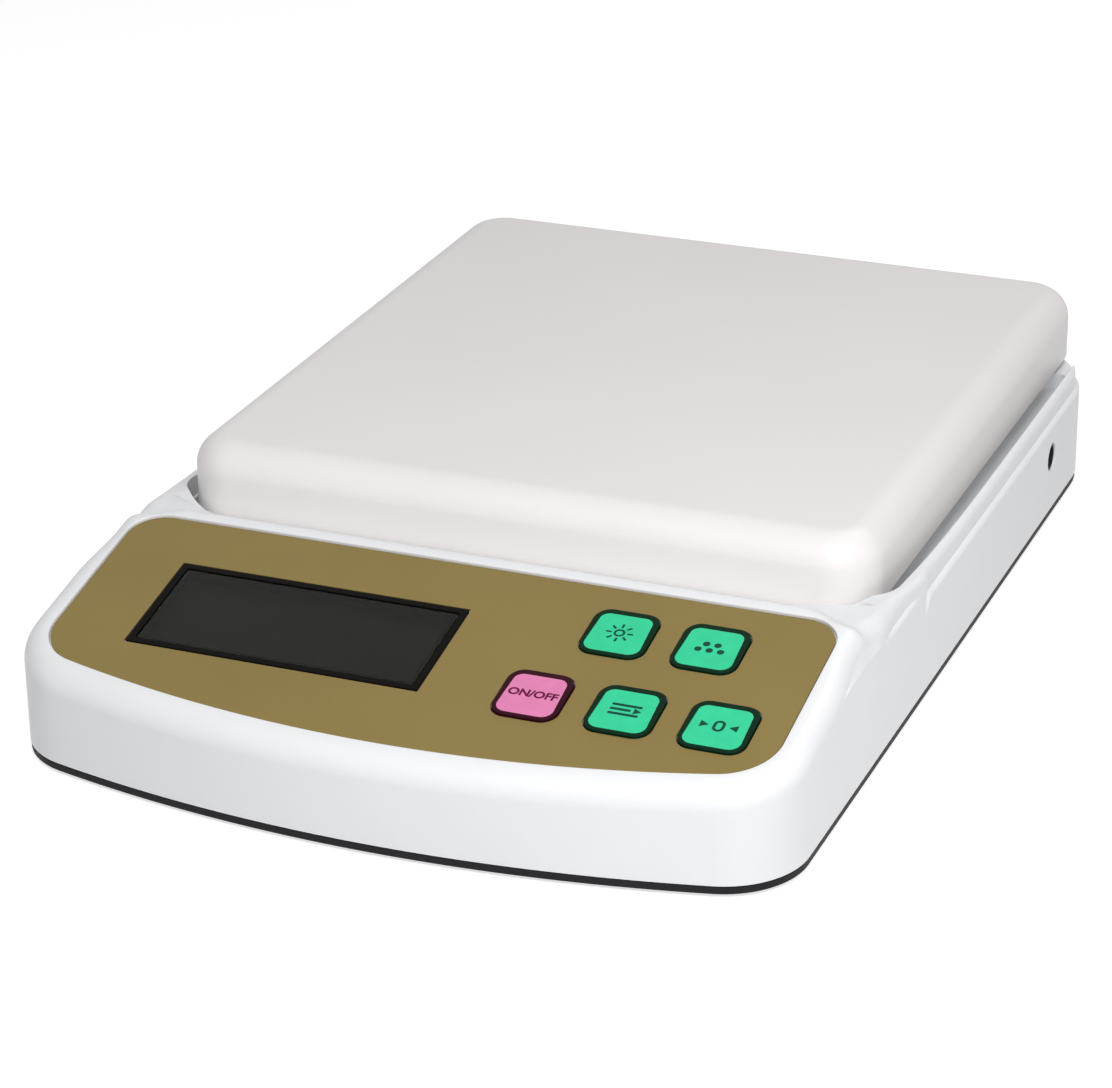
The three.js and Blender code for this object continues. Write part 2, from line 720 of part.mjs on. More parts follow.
// The case's lower moulding, with the battery bay and the seats for everything that is screwed to it
function baseTray() {
  const rimInset = sideWall + gap;
  const rimTop = trayTop + trayRimHeight;
  const pad = block(
    [-cellSection / 2, cellEnds[1] - cellPadLength, trayTop - gap],
    [cellSection / 2, cellEnds[1], cellBottom - gap],
  );
  const bay = block(
    [-bayHalfX - bayWall - bayLedge, bayCentreY - bayHalfY - bayWall - bayLedge, trayBottom],
    [bayHalfX + bayWall + bayLedge, bayCentreY + bayHalfY + bayWall + bayLedge, bayCeiling + bayWall],
  );
  const cradle = block(
    [jackBack, socketY - jackWidth / 2, trayTop - gap],
    [jackFace, socketY + jackWidth / 2, socketHeight - jackBase - gap],
  );
  const stopBoss = rod(stopBossRadius, trayTop - gap, trayTop + stopBossHeight, smallSides, 0, stopY);
  const seats = screwPlaces.map(({ x, y }) =>
    rod(screwSeatRadius, trayTop - gap, seatTop, smallSides, x, y),
  );
  const body = joined(
    solid(plate(caseEdge, trayInset, trayBottom, trayBottom + trayLip)),
    solid(plate(caseEdge, rimInset, trayBottom, rimTop)),
  );
  const hollow = solid(plate(caseEdge, rimInset + trayRimThickness, trayTop, rimTop + overrun));
  const furniture = [pad, bay, cradle, stopBoss, ...seats].map(solid);
  const furnished = joined(body.subtract(hollow), ...furniture);
  const bayRoom = block(
    [-bayHalfX, bayCentreY - bayHalfY, trayBottom - overrun],
    [bayHalfX, bayCentreY + bayHalfY, bayCeiling],
  );
  const doorRoom = block(
    [-openingHalfX, bayCentreY - openingHalfY, trayBottom - overrun],
    [openingHalfX, bayCentreY + openingHalfY, doorTop + gap],
  );
  const grip = block(
    [-gripWidth / 2, bayCentreY - openingHalfY - gripDepth, trayBottom - overrun],
    [gripWidth / 2, bayCentreY - bayHalfY, trayBottom + gripSink],
  );
  const hookSlots = hookPlaces.map((x) =>
    block(
      [x - hookWidth / 2 - gap, bayCentreY + bayHalfY - gap, trayTop],
      [x + hookWidth / 2 + gap, bayCentreY + openingHalfY + bayWall + gap, hookTop + 2 * gap],
    ),
  );
  const tabSlots = rowPlaces.map((y) =>
    block(
      [bayHalfX - gap, y - tabWidth / 2 - gap, batteryCentre - tabHeight / 2 - gap],
      [openingHalfX + bayWall + gap, y + tabWidth / 2 + gap, batteryCentre + tabHeight / 2 + gap],
    ),
  );
  const screwTools = screwPlaces.flatMap(({ x, y }) => [
    rod(screwPilot, trayBottom - overrun, seatTop + overrun, tinySides, x, y),
    rod(screwHead + gap, trayBottom - overrun, trayBottom + screwSeatSink, smallSides, x, y),
  ]);
  const footTools = footPlaces.map(({ x, y }) =>
    rod(footRadius + gap, trayBottom - overrun, trayBottom + footRecess, smallSides, x, y),
  );
  const headSeat = trayBottom + cellBoltHeadHeight + 2 * gap;
  const cellTools = fixedBoltPlaces.flatMap((y) => [
    rod(cellBoltHole, trayBottom - overrun, cellBottom + overrun, tinySides, 0, y),
    rod(cellBoltHead + gap, trayBottom - overrun, headSeat, smallSides, 0, y),
  ]);
  const stopTool = rod(stopShank + gap, trayBottom + gap, cellBottom, tinySides, 0, stopY);
  const bayTools = [bayRoom, doorRoom, grip, ...hookSlots, ...tabSlots];
  const roundTools = [...screwTools, ...footTools, ...cellTools, stopTool];
  return cut(furnished, ...[...bayTools, ...roundTools].map(solid));
}

// An aluminium bar with a waist of two cross holes joined by a slot
function loadCell() {
  const cellMiddle = (cellBottom + cellTop) / 2;
  const bar = block([-cellSection / 2, cellEnds[0], cellBottom], [cellSection / 2, cellEnds[1], cellTop]);
  const acrossBar = (y) => {
    const hole = rod(cellWebHole, -cellSection, cellSection, smallSides);
    return hole.rotateY(Math.PI / 2).translate(0, y, cellMiddle);
  };
  const slot = block(
    [-cellSection, platformCentre - cellWebSpan / 2, cellMiddle - cellWebHole / 2],
    [cellSection, platformCentre + cellWebSpan / 2, cellMiddle + cellWebHole / 2],
  );
  const boltHoles = [...freeBoltPlaces, ...fixedBoltPlaces].map((y) =>
    rod(cellBoltHole, cellBottom - overrun, cellTop + overrun, tinySides, 0, y),
  );
  const tools = [
    acrossBar(platformCentre - cellWebSpan / 2),
    acrossBar(platformCentre + cellWebSpan / 2),
    slot,
    ...boltHoles,
  ];
  return cut(solid(bar), ...tools.map(solid));
}

// A thin dished plate with ribs, standing on four hollow pegs
function platform() {
  const edge = roundedEdge(platformHalfWidth, platformFront, platformRear, platformCorner);
  const rings = [level(edge, () => 0, () => skirtBottom)];
  for (let step = 0; step <= filletSteps + 1; step += 1) {
    const turn = (Math.PI / 2) * (step / (filletSteps + 1));
    const inset = platformFillet * (1 - Math.cos(turn));
    const height = platformTop - platformFillet * (1 - Math.sin(turn));
    rings.push(level(edge, () => inset, () => height));
  }
  const ceiling = platformTop - platformWall;
  const innerFillet = platformFillet - platformWall;
  const hollow = stacked([
    level(edge, () => platformWall, () => skirtBottom - overrun),
    level(edge, () => platformWall, () => ceiling - innerFillet),
    level(edge, () => platformWall + innerFillet, () => ceiling),
  ]);
  const bar = (x0, y0, x1, y1) => solid(block([x0, y0, ceiling - ribDepth], [x1, y1, ceiling + gap]));
  const inner = platformHalfWidth - platformWall - gap;
  const ribX = ribPlaceShare * platformHalfWidth;
  const ribY = (ribPlaceShare * platformLength) / 2;
  const ribs = [-1, 1].flatMap((side) => [
    bar(
      side * ribX - ribThickness / 2,
      platformFront + platformWall,
      side * ribX + ribThickness / 2,
      platformRear - platformWall,
    ),
    bar(
      -inner,
      platformCentre + side * ribY - ribThickness / 2,
      inner,
      platformCentre + side * ribY + ribThickness / 2,
    ),
  ]);
  const pegLow = spreaderTop + gap;
  const pegs = pegPlaces.map(({ x, y }) => solid(rod(pegRadius, pegLow, ceiling + gap, smallSides, x, y)));
  const bores = pegPlaces.map(({ x, y }) =>
    solid(rod(pegBore, pegLow - overrun, pegLow + pegBoreDepth, tinySides, x, y)),
  );
  const shell = solid(stacked(rings)).subtract(solid(hollow));
  return cut(joined(shell, ...ribs, ...pegs), ...bores);
}

// Sheet metal with two windows, a pad on the load cell and a post for each peg
function spreader() {
  const width = pegSpanX + 2 * spreaderMargin;
  const depth = pegSpanY + 2 * spreaderMargin;
  const sheetShape = roundedRectangle(width, depth, spreaderCorner);
  const sheetMetal = prism(sheetShape, spreaderBottom, spreaderTop, 0, platformCentre);
  const pad = block(
    [-cellSection / 2, cellEnds[0], cellTop + gap],
    [cellSection / 2, cellEnds[0] + cellPadLength, spreaderBottom + gap],
  );
  const windowWidth = width / 2 - spreaderWindowInset - spreaderSpine;
  const windowDepth = depth - 2 * spreaderWindowInset;
  const windowShape = roundedRectangle(windowWidth, windowDepth, spreaderWindowCorner);
  const windows = [-1, 1].map((side) =>
    prism(
      windowShape,
      spreaderBottom - overrun,
      spreaderTop + overrun,
      side * (spreaderSpine + windowWidth / 2),
      platformCentre,
    ),
  );
  const posts = pegPlaces.map(({ x, y }) =>
    rod(postRadius, spreaderTop - gap, spreaderTop + postHeight, tinySides, x, y),
  );
  const boltTools = freeBoltPlaces.flatMap((y) => [
    rod(cellBoltHole, cellTop, spreaderTop + overrun, tinySides, 0, y),
    rod(cellBoltHead + gap, boltHeadSeat, spreaderTop + overrun, smallSides, 0, y),
  ]);
  const body = joined(solid(sheetMetal), solid(pad), ...posts.map(solid));
  return cut(body, ...[...windows, ...boltTools].map(solid));
}

// A bolt with its head on top, for the load cell's free end
function boltDown(y) {
  const low = cellTop - cellBoltReach;
  const neck = boltHeadSeat + gap / 2;
  const high = neck + cellBoltHeadHeight;
  const profile = [
    [0, low],
    [cellBoltShank, low],
    [cellBoltShank, neck],
    [cellBoltHead, neck],
    [cellBoltHead, high],
    [0, high],
  ];
  return turned(profile, smallSides, 0, y);
}

// A bolt with its head underneath, for the load cell's fixed end
function boltUp(y) {
  const low = trayBottom + gap;
  const high = cellBottom + cellBoltReach;
  const shape = screwUp(cellBoltHead, cellBoltHeadHeight, cellBoltShank, low, high, smallSides);
  return shape.translate(0, y, 0);
}

// A block with a round well in its face and a pin along the well's axis
function jack() {
  const shell = block(
    [jackBack, socketY - jackWidth / 2, socketHeight - jackBase],
    [jackFace, socketY + jackWidth / 2, socketHeight + jackTop],
  );
  const alongX = (geometry) => geometry.rotateY(Math.PI / 2).translate(jackFace, socketY, socketHeight);
  const bore = alongX(rod(jackBore, -jackBoreDepth, overrun, smallSides));
  const pin = alongX(rod(jackPin, -jackBoreDepth - gap, -jackPinSink, tinySides));
  return joined(solid(shell).subtract(solid(bore)), solid(pin));
}

// The door drops into the tray's opening and hooks over its floor at the rear
function batteryDoor() {
  const width = 2 * (openingHalfX - gap);
  const rear = bayCentreY + openingHalfY - gap;
  const depth = 2 * (openingHalfY - gap);
  const leaf = slab(width, depth, trayBottom, doorTop, 0, bayCentreY);
  const hooks = hookPlaces.flatMap((x) => [
    block([x - hookWidth / 2, rear - hookRise, doorTop - gap], [x + hookWidth / 2, rear, hookTop]),
    block([x - hookWidth / 2, rear - gap, trayTop + gap], [x + hookWidth / 2, rear + hookReach, hookTop]),
  ]);
  return joined(solid(leaf), ...hooks.map(solid));
}

// A battery lying along X; plusSide is 1 where its nub points right and -1 where it points left
function cell(y, plusSide) {
  const half = batteryLength / 2;
  const shoulder = half - batteryNubLength;
  const shape = turned(
    [
      [0, -half],
      [batteryRadius, -half],
      [batteryRadius, shoulder],
      [batteryNubRadius, shoulder],
      [batteryNubRadius, half],
      [0, half],
    ],
    smoothSides,
  );
  return shape.rotateY((plusSide * Math.PI) / 2).translate(plusSide * cellShift, y, batteryCentre);
}

// A contact plate on the bay's end wall; side is 1 at the right end and -1 at the left
function contactPlate(side, y0, y1) {
  const inner = side * (contactX - contactThickness);
  const outer = side * contactX;
  return solid(block([Math.min(inner, outer), y0, contactLow], [Math.max(inner, outer), y1, contactHigh]));
}

// The raised button or the spring's cone on a contact, pointing into the bay
function contactNub(side, y, base, tip, reach) {
  const plateFace = side * (contactX - contactThickness);
  const cone = turned([[0, -gap / 2], [base, -gap / 2], [tip, reach], [0, reach]], tinySides);
  return solid(cone.rotateY((-side * Math.PI) / 2).translate(plateFace, y, batteryCentre));
}

// The tongue that passes through the bay's wall to its lead
function contactTab(y) {
  return solid(
    block(
      [contactX - contactThickness / 2, y - tabWidth / 2, batteryCentre - tabHeight / 2],
      [openingHalfX + bayWall + tabReach, y + tabWidth / 2, batteryCentre + tabHeight / 2],
    ),
  );
}

function positiveContact() {
  const y = rowPlaces[0];
  const body = contactPlate(1, y - contactWidth / 2, y + contactWidth / 2);
  return joined(body, contactNub(1, y, buttonRadius, buttonRadius / 2, buttonHeight), contactTab(y));
}

function negativeContact() {
  const y = rowPlaces[1];
  const body = contactPlate(1, y - contactWidth / 2, y + contactWidth / 2);
  return joined(body, contactNub(1, y, springBase, springTip, springReach), contactTab(y));
}

function linkContact() {
  const body = contactPlate(-1, rowPlaces[0] - contactWidth / 2, rowPlaces[1] + contactWidth / 2);
  return joined(
    body,
    contactNub(-1, rowPlaces[0], springBase, springTip, springReach),
    contactNub(-1, rowPlaces[1], buttonRadius, buttonRadius / 2, buttonHeight),
  );
}

// A cable along a smooth path through hand-chosen places
function cable(points, radius) {
  const places = points.map((point) => new THREE.Vector3(...point));
  const path = new THREE.CatmullRomCurve3(places, false, "centripetal");
  const section = new THREE.Shape().absarc(0, 0, radius, 0, 2 * Math.PI);
  const curveSegments = cableSides / 2;
  const options = { steps: cableSteps, extrudePath: path, curveSegments, bevelEnabled: false };
  return new THREE.ExtrudeGeometry(section, options);
}

// The last places of a cable, from its lane up to the board's underside, square to the board
function boardEnd(order) {
  const laneX = lanes[order];
  const x = boardRight - boardEndInset - boardEndPitch * (lanes.length - 1 - order);
  const under = boardTop - boardThickness - gap;
  const end = new THREE.Vector3(x, -boardEndRun, under).applyMatrix4(panelFrame);
  const below = new THREE.Vector3(x, -boardEndRun, under - boardTail).applyMatrix4(panelFrame);
  const turn = [(laneX + x) / 2, below.y + cableBend / 2, laneZ + boardTail / 2];
  return [[laneX, below.y + 2 * cableBend, laneZ], turn, below, end];
}

// A battery lead runs from its contact's tab down to its lane
function batteryLead(row, order) {
  const y = rowPlaces[row];
  return cable(
    [
      [tabEnd + gap, y, batteryCentre],
      [tabEnd + gap + cableTail, y, batteryCentre],
      [lanes[order], y - cableBend / 2, laneZ],
      ...boardEnd(order),
    ],
    leadRadius,
  );
}

// The load cell's cable leaves the bar's side behind its web
function cellCable() {
  const laneX = lanes[2];
  const y = platformCentre + cellWebSpan;
  const side = cellSection / 2 + gap;
  const middle = cellBottom + cellSection / 2;
  return cable(
    [
      [side, y, middle],
      [side + cableTail, y, middle],
      [(side + laneX) / 2, y - cableBend, laneZ],
      [laneX, y - 2 * cableBend, laneZ],
      ...boardEnd(2),
    ],
    cellCableRadius,
  );
}

// A socket lead leaves the jack's back
function jackLead(order) {
  const back = jackBack - gap;
  const laneX = lanes[3 + order];
  const y = socketY + (order - 1 / 2) * jackLeadSpacing;
  const z = socketHeight - jackLeadDrop;
  return cable(
    [
      [back, y, z],
      [back - cableTail, y, z],
      [laneX, y - cableBend, laneZ],
      [laneX, y - 2 * cableBend, laneZ],
      [laneX, y - 4 * cableBend, laneZ],
      ...boardEnd(3 + order),
    ],
    leadRadius,
  );
}

const scale = new THREE.Group();
const darkPlastic = () => matt(0x3a3b3d, 0.55);
const blackPlastic = () => matt(0x1b1b1d, 0.5);
const redPlastic = () => matt(0xb3262a, 0.5);
const steel = () => metal(0xb9bbbd, 0.35);

piece(scale, "upper_case", upperCase(), matt(0xe9ebee, 0.42));
piece(scale, "base_tray", baseTray(), darkPlastic());
piece(scale, "weighing_platform", platform(), matt(0xe6e0dd, 0.4));
piece(scale, "platform_spreader", spreader(), metal(0x9ea1a4, 0.45));
piece(scale, "load_cell", loadCell(), metal(0xc9ccd0, 0.4));
const pottingLength = cellLength - 2 * (cellPadLength + pottingFromPad);
const pottingLow = cellTop + gap;
const pottingHigh = pottingLow + pottingThickness;
const potting = slab(cellSection, pottingLength, pottingLow, pottingHigh, 0, platformCentre);
piece(scale, "gauge_potting", potting, matt(0xf2f2ee, 0.7));
freeBoltPlaces.forEach((y, i) => piece(scale, `cell_bolt_free_${i + 1}`, boltDown(y), steel()));
fixedBoltPlaces.forEach((y, i) => piece(scale, `cell_bolt_fixed_${i + 1}`, boltUp(y), steel()));

// The stop screw stands in its boss with the head just under the load cell's free end
const stopHigh = cellBottom - gap;
const stopProfile = [
  [0, trayBottom + 2 * gap],
  [stopShank, trayBottom + 2 * gap],
  [stopShank, stopHigh - stopHeadHeight],
  [stopHeadRadius, stopHigh - stopHeadHeight],
  [stopHeadRadius, stopHigh],
  [0, stopHigh],
];
piece(scale, "overload_stop", turned(stopProfile, smallSides, 0, stopY), steel());

// Rubber feet with a chamfer round the face they stand on
for (const { name, x, y } of footPlaces) {
  const high = trayBottom + footRecess - gap;
  const profile = [
    [0, 0],
    [footRadius - footChamfer, 0],
    [footRadius, footChamfer],
    [footRadius, high],
    [0, high],
  ];
  piece(scale, `foot_${name}`, turned(profile, smoothSides, x, y), matt(0x26272a, 0.9));
}

const screwHigh = screwLow + screwLength;
for (const { name, x, y } of screwPlaces) {
  const shape = screwUp(screwHead, screwHeadHeight, screwShank, screwLow, screwHigh, smallSides);
  piece(scale, `case_screw_${name}`, shape.translate(x, y, 0), steel());
}

piece(scale, "battery_door", batteryDoor(), darkPlastic());
piece(scale, "battery_front", cell(rowPlaces[0], 1), matt(0x2f5f8a, 0.35));
piece(scale, "battery_rear", cell(rowPlaces[1], -1), matt(0x2f5f8a, 0.35));
piece(scale, "contact_positive", positiveContact(), steel());
piece(scale, "contact_negative", negativeContact(), steel());
piece(scale, "contact_link", linkContact(), steel());
piece(scale, "power_jack", jack(), blackPlastic());
piece(scale, "lead_battery_positive", batteryLead(0, 0), redPlastic());
piece(scale, "lead_battery_negative", batteryLead(1, 1), blackPlastic());
piece(scale, "cable_load_cell", cellCable(), matt(0xc9cccf, 0.5));
piece(scale, "lead_socket_positive", jackLead(0), redPlastic());
piece(scale, "lead_socket_negative", jackLead(1), blackPlastic());

// The console's pieces stand in a group that is tilted with the panel
const panelGroup = new THREE.Group();
panelGroup.position.set(0, panelRear, panelRearHeight);
panelGroup.rotation.x = tilt;
scale.add(panelGroup);

const sheet = cut(
  solid(plate(sheetEdge, 0, -overlayThickness, 0)),
  solid(displayBlock(gap, -overrun, overrun)),
  ...keyPlaces.map((place) => solid(keyOpening(place, -overrun, overrun))),
);
piece(panelGroup, "control_overlay", sheet, metal(0x9d8450, 0.45));

const windowMargin = -displayBorder;
const frameLow = gap - recessDepth;
const frameRing = cut(
  solid(displayBlock(0, frameLow, displayFrameProud)),
  solid(displayBlock(windowMargin, -overrun, overrun)),
);
piece(panelGroup, "display_frame", frameRing, matt(0x0e0d0c, 0.4));
piece(
  panelGroup,
  "display_window",
  displayBlock(windowMargin - gap, frameLow, -windowSink),
  matt(0x2b2c26, 0.12),
);

const glassHigh = panelUnderside - gap;
const glassLow = glassHigh - glassThickness;
const glass = displayBlock(glassMargin - displayBorder, glassLow, glassHigh);
piece(panelGroup, "lcd_glass", glass, matt(0x3a3f36, 0.2));
const connectorRun = displayCentreRun + displayHeight / 2 - connectorInset;
const stackHigh = glassLow - gap;
piece(
  panelGroup,
  "backlight_panel",
  displayBlock(-backlightInset - displayBorder, stackHigh - backlightThickness, stackHigh),
  matt(0xe8f0e2, 0.5),
);
const connectorLength = displayWidth - 2 * backlightInset;
piece(
  panelGroup,
  "lcd_connector",
  slab(connectorLength, connectorWidth, boardTop + gap, stackHigh, displayCentreX, -connectorRun),
  matt(0xd88aa0, 0.7),
);

const boardX = (boardRight - boardLeft) / 2;
const boardY = -(boardRearRun + boardLength / 2);
const boardUnder = boardTop - boardThickness;
const boardHoles = boardScrewPlaces.map(({ x, y }) =>
  rod(boardScrewPilot, boardTop - overrun, boardTop + overrun, tinySides, x, y),
);
const board = slab(boardLeft + boardRight, boardLength, boardUnder, boardTop, boardX, boardY);
piece(panelGroup, "main_board", cut(solid(board), ...boardHoles.map(solid)), matt(0x2f6b3f, 0.5));
const blob = turned(
  [[0, -blobHeight], [blobRadius / 2, -blobHeight], [blobRadius, -blobHeight / 3], [blobRadius, 0], [0, 0]],
  smallSides,
  firstKeyX - blobToKey,
  -blobRun,
);
piece(panelGroup, "chip_blob", blob.translate(0, 0, boardUnder - gap), matt(0x111214, 0.35));
boardScrewPlaces.forEach(({ x, y }, i) => {
  const low = boardUnder - gap - boardScrewHeadHeight;
  const high = boardTop + boardScrewReach - gap;
  const shape = screwUp(boardScrewHead, boardScrewHeadHeight, boardScrewShank, low, high, tinySides);
  piece(panelGroup, `board_screw_${i + 1}`, shape.translate(x, y, 0), steel());
});

// Each key stands in its own opening, its flange under the panel and its stem over a switch
for (const { name, colour, x, y } of keyPlaces) {
  const capTop = keyProud;
  const flangeHigh = panelUnderside - gap;
  const flangeLow = flangeHigh - keyFlangeThickness;
  const stemLow = flangeLow - keyStemLength;
  const capShape = roundedRectangle(keyWidth, keyDepth, keyCorner);
  const cap = prism(capShape, flangeHigh - gap, capTop - keyBevel, x, y);
  const crownWidth = keyWidth - 2 * keyBevel;
  const crownDepth = keyDepth - 2 * keyBevel;
  const crownShape = roundedRectangle(crownWidth, crownDepth, keyCorner - keyBevel);
  const crown = prism(crownShape, capTop - 2 * keyBevel, capTop, x, y);
  const flangeShape = roundedRectangle(keyWidth + 2 * keyFlange, keyDepth + 2 * keyFlange, keyCorner);
  const flange = prism(flangeShape, flangeLow, flangeHigh, x, y);
  const stem = rod(keyStem, stemLow, flangeLow + gap, tinySides, x, y);
  piece(panelGroup, name, joined(...[cap, crown, flange, stem].map(solid)), matt(colour, 0.45));

  const label = name.replace("key_", "");
  const switchLow = boardTop + gap;
  const switchTop = switchLow + switchHeight;
  const plungerTop = stemLow - gap;
  const body = slab(switchSize, switchSize, switchLow, switchTop, x, y);
  const well = rod(plungerRadius + gap, switchTop - plungerWell, switchTop + overrun, tinySides, x, y);
  piece(panelGroup, `switch_${label}`, solid(body).subtract(solid(well)), blackPlastic());
  const plunger = rod(plungerRadius, plungerTop - plungerLength, plungerTop, tinySides, x, y);
  piece(panelGroup, `plunger_${label}`, plunger, matt(0xd9d2c4, 0.5));
}

export default scale;
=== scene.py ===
import math

import bmesh
import bpy
from mathutils import Matrix, Vector


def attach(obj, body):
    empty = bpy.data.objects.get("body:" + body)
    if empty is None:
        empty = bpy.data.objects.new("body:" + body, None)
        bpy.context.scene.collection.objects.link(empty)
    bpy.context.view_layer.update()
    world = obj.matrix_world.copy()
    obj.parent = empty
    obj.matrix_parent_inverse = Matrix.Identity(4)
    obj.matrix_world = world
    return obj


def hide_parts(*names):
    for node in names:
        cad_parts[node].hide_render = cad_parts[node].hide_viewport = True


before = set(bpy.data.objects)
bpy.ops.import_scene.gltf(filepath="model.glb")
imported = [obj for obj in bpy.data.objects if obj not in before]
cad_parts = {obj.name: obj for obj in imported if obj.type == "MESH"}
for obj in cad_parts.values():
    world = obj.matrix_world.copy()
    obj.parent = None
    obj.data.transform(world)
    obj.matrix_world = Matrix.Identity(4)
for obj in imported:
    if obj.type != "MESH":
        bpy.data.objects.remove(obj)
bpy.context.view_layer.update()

# Camera
# It stands 0.8 m from the scale, in front of it, to its right and above it, and looks through a long
# lens at the gap between the console and the platform.
camera_place = Vector((0.2751, -0.6892, 0.3493))
camera_aim = Vector((-0.3464, 0.8431, -0.4113)).normalized()
camera_roll = math.radians(-0.74)
picture_width = 1112
focal_pixels = 3632.7
sensor_width = 36

level_right = camera_aim.cross(Vector((0, 0, 1))).normalized()
level_up = level_right.cross(camera_aim)
camera_right = math.cos(camera_roll) * level_right + math.sin(camera_roll) * level_up
camera_up = math.cos(camera_roll) * level_up - math.sin(camera_roll) * level_right
camera_data = bpy.data.cameras.new("camera")
camera_data.sensor_fit = "HORIZONTAL"
camera_data.sensor_width = sensor_width
camera_data.lens = focal_pixels * sensor_width / picture_width
camera_data.clip_start = 0.01
camera = bpy.data.objects.new("camera", camera_data)
camera.matrix_world = Matrix((camera_right, camera_up, -camera_aim)).transposed().to_4x4()
camera.location = camera_place
bpy.context.scene.collection.objects.link(camera)
bpy.context.scene.camera = camera
bpy.context.scene.view_settings.view_transform = "Standard"

# Floor, sky and lamps
# A wide pale table under an even sky, with a soft lamp in front, one near the right front corner and
# a weak one behind. Seen directly or in a gloss, table and sky are white but for shadows.
floor_reach = 4
floor_colour = (0.62, 0.62, 0.62, 1)
floor_lift = 0.68
sky_strength = 0.27
lamps = [
    ("right_lamp", (0.319, -0.319, 0.336), 0.3, 1.1),
    ("front_lamp", (0.18, -0.68, 0.727), 0.3, 4.3),
    ("rear_lamp", (0.289, 0.501, 0.709), 0.2, 0.9),
]


def set_inputs(node, **values):
    """Sets a node's inputs by name, with underscores for spaces."""
    for name, value in values.items():
        node.inputs[name.replace("_", " ")].default_value = value


def seen_directly(tree, low, high):
    """A strength that is high for what the camera, a gloss or a glass shows, and low for the light."""
    path = tree.nodes.new("ShaderNodeLightPath")
    total = path.outputs["Is Camera Ray"]
    for other in ("Is Glossy Ray", "Is Transmission Ray"):
        either = tree.nodes.new("ShaderNodeMath")
        either.operation = "MAXIMUM"
        tree.links.new(total, either.inputs[0])
        tree.links.new(path.outputs[other], either.inputs[1])
        total = either.outputs[0]
    strength = tree.nodes.new("ShaderNodeMapRange")
    set_inputs(strength, To_Min=low, To_Max=high)
    tree.links.new(total, strength.inputs["Value"])
    return strength.outputs["Result"]


floor_mesh = bpy.data.meshes.new("floor")
floor_corners = [(x * floor_reach, y * floor_reach, 0) for x, y in ((-1, -1), (1, -1), (1, 1), (-1, 1))]
floor_mesh.from_pydata(floor_corners, [], [(0, 1, 2, 3)])
floor = bpy.data.objects.new("floor", floor_mesh)
bpy.context.scene.collection.objects.link(floor)

floor_finish = bpy.data.materials.new("floor_white")
floor_finish.use_nodes = True
tree = floor_finish.node_tree
shader = tree.nodes["Principled BSDF"]
set_inputs(shader, Base_Color=floor_colour, Roughness=0.9, Specular_IOR_Level=0.1,
           Emission_Color=(1, 1, 1, 1))
tree.links.new(seen_directly(tree, 0, floor_lift), shader.inputs["Emission Strength"])
floor_mesh.materials.append(floor_finish)

sky = bpy.data.worlds.new("sky")
sky.use_nodes = True
bpy.context.scene.world = sky
tree = sky.node_tree
backdrop = tree.nodes["Background"]
set_inputs(backdrop, Color=(1, 1, 1, 1))
tree.links.new(seen_directly(tree, sky_strength, 1), backdrop.inputs["Strength"])

for name, place, size, power in lamps:
    lamp_data = bpy.data.lights.new(name, "AREA")
    lamp_data.size = size
    lamp_data.energy = power
    lamp = bpy.data.objects.new(name, lamp_data)
    lamp.location = place
    lamp.rotation_euler = (-Vector(place)).to_track_quat("-Z", "Y").to_euler()
    bpy.context.scene.collection.objects.link(lamp)

# Base tray
# The dark moulded tray under the scale, with a thin lip that shows below the white case, a raised
# rim inside the case's walls, the battery bay, and seats for the screws, the feet and the load cell.
# From here on, sizes are in millimetres until a shape is fitted.
mm = 0.001
fit_gap = 0.3
overrun = 5
case_half, case_front, case_rear = 85, -125, 125
case_bow, case_near_corner, case_far_corner = 300, 18, 24
tray_low = 1
tray_lip_top, tray_floor_top, tray_rim_top = tray_low + 1.6, tray_low + 2, tray_low + 6.5
tray_lip_inset, tray_rim_inset, tray_rim_thickness = 0.15, 2.5, 1.6
rim_low = tray_low + 0.5
lip_soft_low, lip_soft_high, rim_soft, bay_soft, pad_soft = 0.25, 0.1, 0.3, 0.4, 0.2
screw_places = {"front_left": (-77, case_front + 44), "front_right": (77, case_front + 44),
                "rear_left": (-72, case_rear - 34), "rear_right": (72, case_rear - 34)}
foot_places = {"front_left": (-66, case_front + 24), "front_right": (66, case_front + 24),
               "rear_left": (-66, case_rear - 20), "rear_right": (66, case_rear - 20)}
bay_middle_y, bay_half_x, bay_half_y, bay_ledge, bay_wall = -26.35, 28.55, 15.4, 1.4, 1.6
bay_ceiling = tray_floor_top + 14.6
row_y = (bay_middle_y - 7.5, bay_middle_y + 7.5)
jack_face, jack_length, jack_width = 82.5, 14, 9
jack_x = jack_face - jack_length / 2
socket_y, socket_z, jack_underside = case_rear - 45, 16.3, 10.2
cell_rear, cell_low, cell_half, cell_pad_length = 80.15, tray_floor_top + 3.2, 6.35, 25
bolt_places, stop_y = [(0, cell_rear - 20), (0, cell_rear - 5)], 12.65
seat_base = tray_floor_top - fit_gap
stop_boss_radius, stop_boss_height = 4, 1.4
screw_seat_radius, screw_seat_height = 4.4, 4
door_recess = 2.1
grip_width, grip_depth, grip_height, grip_corner, grip_soft = 14, 9, 1, 3.5, 0.8
hook_x, hook_slot_half, hook_slot_top, slot_reach = (-18, 18), 3.8, tray_floor_top + 2.1, 3.3
tab_slot_half, tab_slot_low, tab_slot_top = 1.8, tray_floor_top + 5.4, tray_floor_top + 9


def arc(x, y, radius, start, end, steps):
    """Places on an arc, each with the direction that leads inwards from it."""
    places = []
    for i in range(steps + 1):
        angle = start + (end - start) * i / steps
        inward = (-math.cos(angle), -math.sin(angle))
        places.append((x - radius * inward[0], y - radius * inward[1], *inward))
    return places


